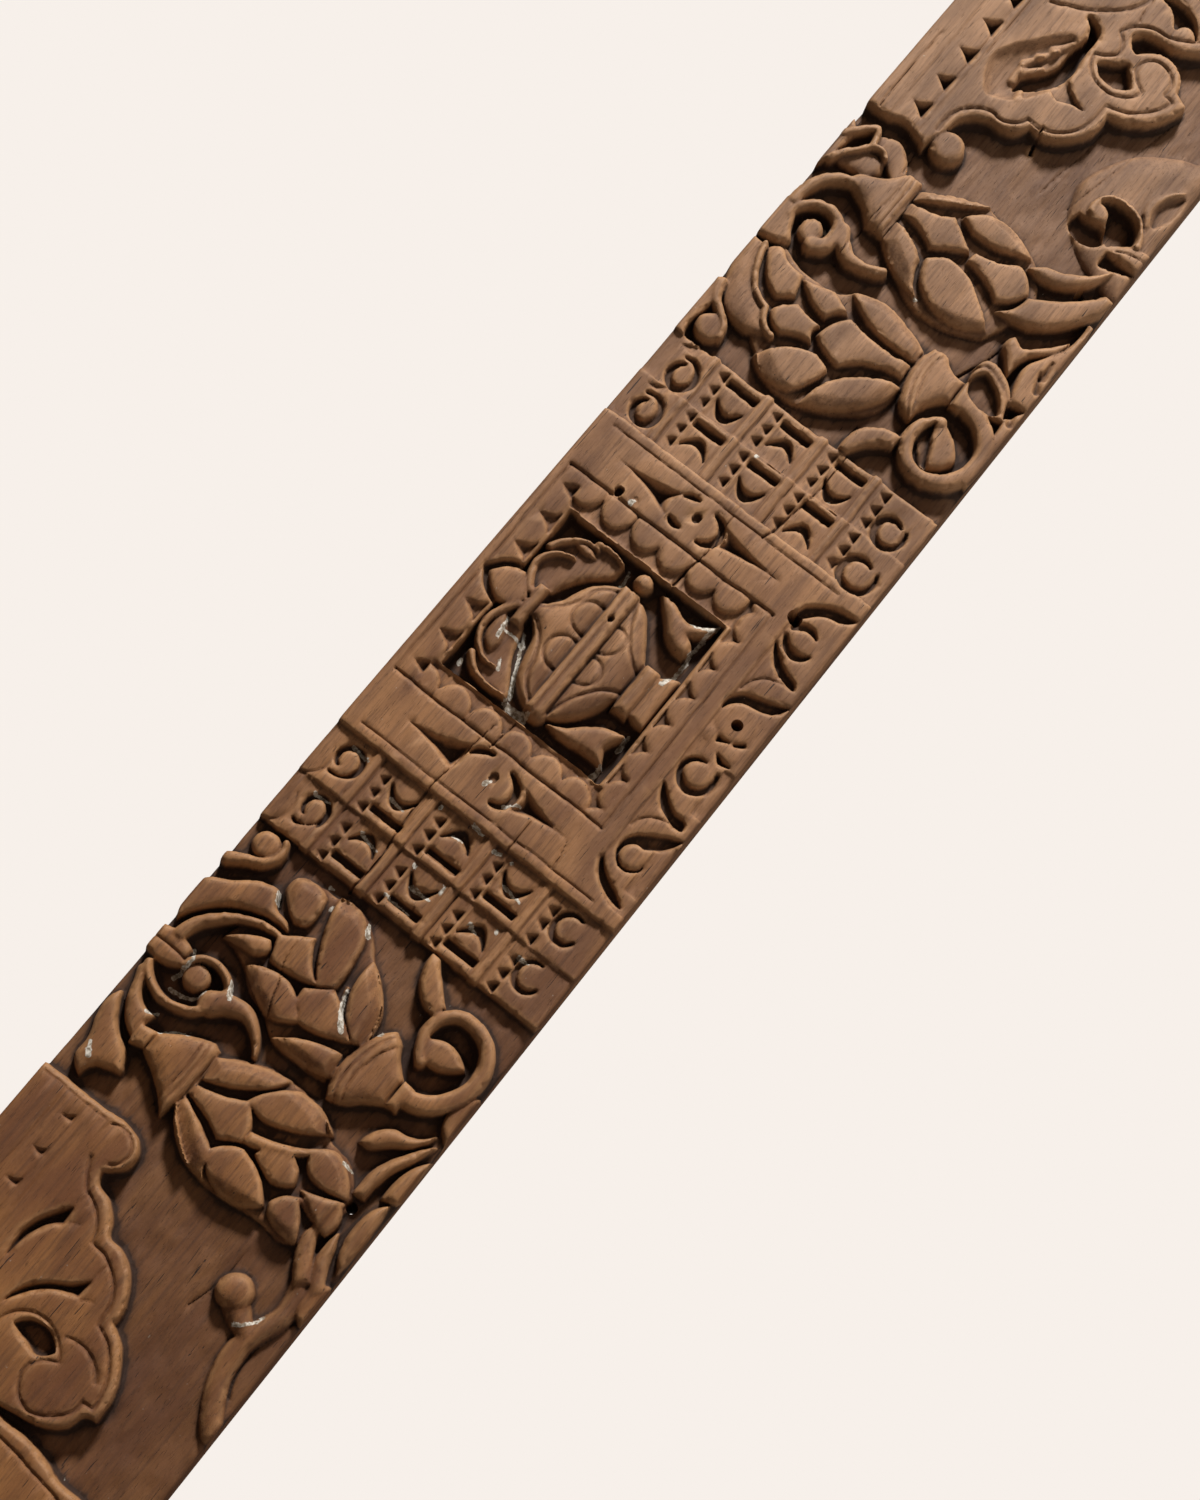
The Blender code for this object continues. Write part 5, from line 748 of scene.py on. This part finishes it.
# Old white lime is left in the hollows
lime_lines = (
    ([(-45, 30), (-32, 36.5), (-20, 42), (-12, 46)], 2.4), ([(-18, 42), (-19, 55)], 2.2), ([(-38, 44), (-33, 46)], 2.0),
    ([(-50, 18), (-49, 30)], 6.0), ([(-24, 55), (-12, 57)], 2.2), ([(-46, 63), (-44, 63)], 3.0),
    ([(9, -28.5), (24, -31), (38, -30), (55, -33)], 2.6), ([(-53, -30), (-46, -31)], 4.0), ([(-32, -32), (-22, -32)], 2.4),
    ([(48, -22), (50, -31)], 5.0), ([(41, 22), (47, 23), (52, 24)], 2.0), ([(-96, -5), (-91, -12)], 2.0),
    ([(-128, 43), (-130, 34)], 1.8), ([(-124, 6), (-124, 0)], 2.0), ([(-128, -31), (-131, -43)], 1.8),
    ([(-152, 43), (-155, 31)], 1.8), ([(-158, 6), (-158.5, -6)], 2.2), ([(-155, -30), (-157, -35)], 2.2),
    ([(-170, 14), (-170, -2)], 1.4), ([(-149, 11), (-148, 12)], 2.2), ([(-117, 20), (-116, 20)], 2.4),
    ([(-114, 0), (-115, -6)], 2.0), ([(-118, -16), (-117.5, -20)], 2.2), ([(-117, -27), (-116.5, -27)], 2.4),
    ([(-150, -43), (-149, -43)], 2.2), ([(-152, -8), (-148, -8)], 2.0), ([(-119, 75), (-121, 64)], 1.8),
    ([(-151, 75), (-150, 66)], 1.8), ([(-153, -60), (-153, -66)], 2.0),
    ([(-240, -14), (-234, -9), (-221, -3)], 3.0), ([(-208, 53), (-203, 56)], 2.4), ([(-193, 7), (-187, 10)], 2.6),
    ([(-194, 30), (-192, 30)], 2.0), ([(-229, -30), (-226, -30.5)], 2.0), ([(-262, 40), (-254, 45)], 2.6),
    ([(-275, 68), (-274, 60), (-272, 55), (-266, 52)], 2.0), ([(-270, 70), (-264, 68), (-258, 67), (-252, 71)], 2.2),
    ([(-292, 68), (-289, 64)], 2.4), ([(-296, 56), (-291, 51), (-288, 44)], 2.0), ([(-327, 76), (-321, 80)], 2.8),
    ([(-290, -57), (-290.5, -62)], 2.4), ([(-184, 38), (-183.5, 36)], 2.0), ([(-384, -64), (-381, -68), (-372, -73)], 1.8),
    ([(146, 10), (147, 9)], 2.0), ([(151, -36), (152, -37)], 2.0), ([(283, 63), (282, 60)], 2.6), ([(280, -2), (281, -3)], 2.0),
    ([(-93, 9.5), (-90, 8)], 3.0), ([(79.5, 46), (81, 45)], 3.4),
)
lime = np.zeros_like(face.w)
for line, width in lime_lines:
    place, _, _, away = face.near(stroke(*line, width=width, tip=0.5 * width), 1.2)
    lime[place] = np.maximum(lime[place], np.clip(0.5 - away / 1.6, 0.0, 1.0))
face.w += 0.5 * lime * np.clip(0.5 + rough(2.2, 2.2, 15), 0.0, 1.0)
face.w = np.minimum(face.w, 0.0)

# The plank's mesh
# The front is the carved relief; the sides and back are flat sawn wood.
bm = bmesh.new()
bmesh.ops.create_grid(bm, x_segments=len(face.u) - 1, y_segments=len(face.v) - 1, size=0.5)
skirt = bmesh.ops.extrude_edge_only(bm, edges=[edge for edge in bm.edges if edge.is_boundary])["geom"]
back = [vert for vert in skirt if isinstance(vert, bmesh.types.BMVert)]
bmesh.ops.contextual_create(bm, geom=[edge for edge in bm.edges if edge.is_boundary])
for vert in back:
    vert.co.z = 1.0
bmesh.ops.recalc_face_normals(bm, faces=bm.faces[:])
mesh = bpy.data.meshes.new("carved_plank")
bm.to_mesh(mesh)
bm.free()
places = np.empty(len(mesh.vertices) * 3)
mesh.vertices.foreach_get("co", places)
places = places.reshape(-1, 3)
columns = np.rint((places[:, 0] + 0.5) * (len(face.u) - 1)).astype(int)
rows = np.rint((places[:, 1] + 0.5) * (len(face.v) - 1)).astype(int)
on_back = places[:, 2] > 0.5
front = -(THICKNESS + face.w[rows, columns]) * MM
places = np.column_stack([face.u[columns] * MM, np.where(on_back, 0.0, front), face.v[rows] * MM])
mesh.vertices.foreach_set("co", places.ravel())
mesh.flip_normals()
plank = bpy.data.objects.new("carved_plank", mesh)
bpy.context.collection.objects.link(plank)
kept = plank.vertex_groups.new(name="kept_fine")
kept.add(np.nonzero(lime[rows, columns] * ~on_back > 0.0)[0].tolist(), 1.0, "REPLACE")
fewer = plank.modifiers.new("fewer_faces", "DECIMATE")
fewer.ratio = FACES / (2 * len(mesh.polygons))
fewer.vertex_group = kept.name
fewer.invert_vertex_group = True
drills = []
for name, u, v, radius in (("left", -304.0, -73.0, 4.0), ("middle", 15.5, -73.5, 3.5), ("right", 83.5, -61.7, 4.6),
                           ("far_right", 343.7, -73.0, 4.0)):
    bm = bmesh.new()
    bmesh.ops.create_cone(bm, cap_ends=True, segments=24, radius1=0.3 * radius * MM, radius2=radius * MM,
                          depth=1.1 * THICKNESS * MM,
                          matrix=Matrix.Translation((u * MM, -THICKNESS / 2 * MM, v * MM)) @ Matrix.Rotation(np.pi / 2, 4, "X"))
    drill_mesh = bpy.data.meshes.new("drill_" + name)
    bm.to_mesh(drill_mesh)
    bm.free()
    drill = bpy.data.objects.new("drill_" + name, drill_mesh)
    bpy.context.collection.objects.link(drill)
    drills.append(drill)
    hole = plank.modifiers.new("hole_" + name, "BOOLEAN")
    hole.operation = "DIFFERENCE"
    hole.solver = "MANIFOLD"
    hole.object = drill
graph = bpy.context.evaluated_depsgraph_get()
carved = bpy.data.meshes.new_from_object(plank.evaluated_get(graph))
plank.modifiers.clear()
plank.data = carved
for drill in drills:
    bpy.data.objects.remove(drill, do_unlink=True)
carved.shade_smooth()
carved.set_sharp_from_angle(angle=np.radians(75))

# What the eye sees besides the shape: how hollow or proud each point is, measured on the relief
places = np.empty(len(carved.vertices) * 3)
carved.vertices.foreach_get("co", places)
places = places.reshape(-1, 3) / MM


def keep(name, layer, elsewhere):
    """Keep a layer over the face as an attribute of the plank's points, with one value for its sides and back."""
    u = np.clip((places[:, 0] - face.u[0]) / (face.u[1] - face.u[0]), 0, len(face.u) - 1.001)
    v = np.clip((places[:, 2] - face.v[0]) / (face.v[1] - face.v[0]), 0, len(face.v) - 1.001)
    column, row = u.astype(int), v.astype(int)
    u, v = u - column, v - row
    lower = layer[row, column] * (1 - u) + layer[row, column + 1] * u
    upper = layer[row + 1, column] * (1 - u) + layer[row + 1, column + 1] * u
    values = np.where(places[:, 1] < -THICKNESS + 30.0, lower * (1 - v) + upper * v, elsewhere)
    attribute = carved.attributes.new(name, "FLOAT", "POINT")
    attribute.data.foreach_set("value", values.astype(np.float32))


keep("hollow", np.clip((soften(face.w, 5.0) - face.w) / 7.0, 0.0, 1.0), 0.0)
keep("crease", np.clip((soften(face.w, 1.6) - face.w) / 1.6, 0.0, 1.0), 0.0)
keep("proud", np.clip((face.w - soften(face.w, 1.6)) / 0.9, 0.0, 1.0), 0.0)
keep("depth", np.clip(-face.w / 13.0, 0.0, 1.0), 0.5)
keep("lime", lime, 0.0)
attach(plank, "root")
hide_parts("carved_panel")


# The wood
# Old teak: grain and open pores along the board, dirt and painted shade in the hollows, deep ground painted darker as
# shade, edges rubbed pale and partly painted as highlights, and the upper right end bleached by weather while the lower
# left keeps its warm oil.
class Value:
    """A number or colour in the material, so that the finish can be written as sums and products."""

    def __init__(self, tree, socket):
        self.tree = tree
        self.socket = socket

    def math(self, operation, *others):
        """A Math node on this value."""
        return node(self.tree, "ShaderNodeMath", {"operation": operation}, self, *others)

    def __add__(self, other):
        return self.math("ADD", other)

    __radd__ = __add__

    def __mul__(self, other):
        return self.math("MULTIPLY", other)

    __rmul__ = __mul__

    def __sub__(self, other):
        return self.math("SUBTRACT", other)

    def __rsub__(self, other):
        return (self * -1.0) + other

    def __pow__(self, other):
        return self.math("POWER", other)

    def clip(self):
        """Kept between 0 and 1."""
        return node(self.tree, "ShaderNodeClamp", {}, self)

    def between(self, start, end):
        """0 below start, 1 above end, and smooth between."""
        return node(self.tree, "ShaderNodeMapRange", {"interpolation_type": "SMOOTHSTEP"}, self, start, end, 0.0, 1.0)


def node(tree, kind, settings, *values, out=0, **named):
    """A node of a kind, its settings made first, then its sockets' values or links, in order or by name."""
    made = tree.nodes.new(kind)
    for key, setting in settings.items():
        if key == "ramp":
            stops = made.color_ramp.elements
            while len(stops) < len(setting):
                stops.new(1.0)
            for stop, (position, colour) in zip(stops, setting):
                stop.position = position
                stop.color = (*colour, 1.0)
        else:
            setattr(made, key, setting)
    wired = list(zip(range(len(values)), values))
    wired += [(key.replace("_", " "), value) for key, value in named.items()]
    for key, value in wired:
        if isinstance(value, Value):
            tree.links.new(value.socket, made.inputs[key])
        elif isinstance(value, bpy.types.NodeSocket):
            tree.links.new(value, made.inputs[key])
        elif isinstance(value, tuple) and len(value) == 3 and made.inputs[key].type == "RGBA":
            made.inputs[key].default_value = (*value, 1.0)
        else:
            made.inputs[key].default_value = value
    return Value(tree, made.outputs[out])


def srgb(red, green, blue):
    """A colour as read from a screen, 0 to 255, turned into light."""
    return tuple(((c / 255 + 0.055) / 1.055) ** 2.4 if c > 10 else c / 255 / 12.92 for c in (red, green, blue))


def mix(tree, factor, first, second, kind="MIX"):
    """Two colours mixed."""
    made = tree.nodes.new("ShaderNodeMix")
    made.data_type = "RGBA"
    made.blend_type = kind
    for key, value in ((0, factor), (6, first), (7, second)):
        if isinstance(value, Value):
            tree.links.new(value.socket, made.inputs[key])
        elif isinstance(value, tuple):
            made.inputs[key].default_value = (*value, 1.0)
        else:
            made.inputs[key].default_value = value
    return Value(tree, made.outputs[2])


wood = bpy.data.materials.new("old_teak")
wood.use_nodes = True
tree = wood.node_tree
tree.nodes.clear()
where = node(tree, "ShaderNodeTexCoord", {}, out=3)


def noise(size_u, size_v, detail=3.0, rough_share=0.5, offset=(0.0, 0.0, 0.0)):
    """Noise with lumps of a size along and across the board, in millimetres."""
    scale = (1.0 / (size_u * MM), 1.0 / (size_v * MM), 1.0 / (size_v * MM))
    place = node(tree, "ShaderNodeMapping", {}, where, offset, (0.0, 0.0, 0.0), scale)
    return node(tree, "ShaderNodeTexNoise", {}, Vector=place, Scale=1.0, Detail=detail, Roughness=rough_share)


def layer(name):
    """A value kept on the plank's points."""
    return node(tree, "ShaderNodeAttribute", {"attribute_name": name}, out=2)


hollow, crease, proud, depth, lime = (layer(name) for name in ("hollow", "crease", "proud", "depth", "lime"))
along = node(tree, "ShaderNodeSeparateXYZ", {}, where)
weathered = (along * 1.35 + 0.50 + (noise(160.0, 60.0) - 0.5) * 0.7).clip()
broad_tone = noise(70.0, 22.0, detail=3.0)
streaks = noise(60.0, 2.2, detail=4.0, rough_share=0.6)
fine_grain = noise(18.0, 0.55, detail=3.0, rough_share=0.6)
pores = noise(7.0, 0.30, detail=1.0)
checks = noise(26.0, 1.1, detail=2.0, offset=(3.0, 1.0, 5.0))
warm = mix(tree, broad_tone.between(0.3, 0.7), srgb(98, 58, 29), srgb(134, 88, 46))
grey = mix(tree, broad_tone.between(0.3, 0.7), srgb(108, 78, 54), srgb(144, 108, 78))
colour = mix(tree, weathered, warm, grey)
# Painted shade: the colour darkens towards the deep ground, standing in for the shade that falls in the recesses.
colour = mix(tree, depth.between(0.15, 1.0) * 0.5, colour, srgb(72, 43, 24))
colour = mix(tree, (streaks.between(0.42, 0.72)) * 0.5, colour, srgb(66, 39, 22))
colour = mix(tree, fine_grain.between(0.5, 0.75) * 0.35, colour, srgb(54, 32, 18))
# Partly wear, partly painted highlight: proud edges and ridges are painted pale.
wear_and_highlight = proud.between(0.05, 0.8) * (0.35 + noise(9.0, 4.0) * 0.9)
colour = mix(tree, wear_and_highlight.clip() * 0.4, colour, srgb(176, 132, 88))
# Partly dirt, partly painted shade: hollows and creases are darkened almost to black, standing in for the shade in the
# grooves.
grime_and_shade = (hollow.between(0.05, 0.75) * 0.85 + crease.between(0.1, 0.8) * 0.5 + (noise(12.0, 6.0) - 0.5) * 0.4).clip()
colour = mix(tree, grime_and_shade * 0.85, colour, srgb(27, 14, 8))
check_marks = checks.between(0.70, 0.73)
pore_marks = pores.between(0.66, 0.74)
colour = mix(tree, (pore_marks * 0.5 + check_marks * 0.85).clip(), colour, srgb(24, 13, 8))
crust = (lime * 1.6 + (noise(3.0, 2.0, detail=4.0) - 0.62) * 2.2).between(0.2, 0.55)
colour = mix(tree, crust * 0.9, colour, mix(tree, noise(2.0, 2.0, detail=3.0).between(0.35, 0.65), srgb(120, 108, 92), srgb(196, 190, 178)))
height = streaks * 0.25 + fine_grain * 0.35 + noise(3.0, 1.2, detail=4.0) * 0.4 - pore_marks * 0.5 - check_marks * 0.9
bump = node(tree, "ShaderNodeBump", {}, Height=height, Strength=0.6, Distance=0.0007)
roughness = 0.74 - proud * 0.12 + grime_and_shade * 0.12 + crust * 0.12
shader = tree.nodes.new("ShaderNodeBsdfPrincipled")
tree.links.new(colour.socket, shader.inputs["Base Color"])
tree.links.new(roughness.socket, shader.inputs["Roughness"])
tree.links.new(bump.socket, shader.inputs["Normal"])
shader.inputs["Specular IOR Level"].default_value = 0.32
output = tree.nodes.new("ShaderNodeOutputMaterial")
tree.links.new(shader.outputs["BSDF"], output.inputs["Surface"])
carved.materials.clear()
carved.materials.append(wood)

# The room
# A plain pale floor below the panel, a pale surround, one large soft light from the upper right and a weak fill.
bm = bmesh.new()
bmesh.ops.create_grid(bm, x_segments=1, y_segments=1, size=0.5,
                      matrix=Matrix.Translation((0.0, -0.36, -0.55)) @ Matrix.Diagonal((2.0, 1.06, 1.0, 1.0)))
floor_mesh = bpy.data.meshes.new("floor")
bm.to_mesh(floor_mesh)
bm.free()
floor = bpy.data.objects.new("floor", floor_mesh)
bpy.context.collection.objects.link(floor)
pale = bpy.data.materials.new("pale_floor")
pale.use_nodes = True
pale.node_tree.nodes["Principled BSDF"].inputs["Base Color"].default_value = (*srgb(238, 232, 224), 1.0)
pale.node_tree.nodes["Principled BSDF"].inputs["Roughness"].default_value = 0.9
floor_mesh.materials.append(pale)

world = bpy.data.worlds.new("pale_room")
world.use_nodes = True
room = world.node_tree
lamp = room.nodes["Background"]
lamp.inputs["Color"].default_value = (*srgb(255, 240, 225), 1.0)
lamp.inputs["Strength"].default_value = 0.16
paper = node(room, "ShaderNodeBackground", {}, srgb(247, 240, 234), 1.0)
seen = node(room, "ShaderNodeLightPath", {})
chosen = node(room, "ShaderNodeMixShader", {}, seen, lamp.outputs["Background"], paper)
room.links.new(chosen.socket, room.nodes["World Output"].inputs["Surface"])
bpy.context.scene.world = world
bpy.context.scene.view_settings.view_transform = "Standard"


def soft_light(name, place, target, size, power):
    """A square area light that looks at a point."""
    lamp_data = bpy.data.lights.new(name, "AREA")
    lamp_data.size = size
    lamp_data.energy = power
    lamp_object = bpy.data.objects.new(name, lamp_data)
    lamp_object.location = place
    lamp_object.rotation_euler = (Vector(target) - Vector(place)).to_track_quat("-Z", "Y").to_euler()
    bpy.context.collection.objects.link(lamp_object)


soft_light("key", (3.0, -2.1, 1.0), (0.0, 0.0, 0.0), 0.55, 260.0)

# The photograph's viewpoint: in front of the panel's left half, a little low, rolled so that the panel rises to
# the upper right
camera_data = bpy.data.cameras.new("camera")
camera_data.lens = 67.44
camera_data.sensor_width = 36.0
camera_data.clip_start = 0.05
camera_data.clip_end = 50.0
camera = bpy.data.objects.new("camera", camera_data)
look = Vector((0.28760, 0.95270, 0.09822)).normalized()
up = Vector((0.74187, -0.28646, 0.60628))
side = look.cross(up).normalized()
up = side.cross(look)
turn = Matrix((side, up, -look)).transposed().to_4x4()
camera.matrix_world = Matrix.Translation((-0.4618, -1.4383, -0.1693)) @ turn
bpy.context.collection.objects.link(camera)
bpy.context.scene.camera = camera
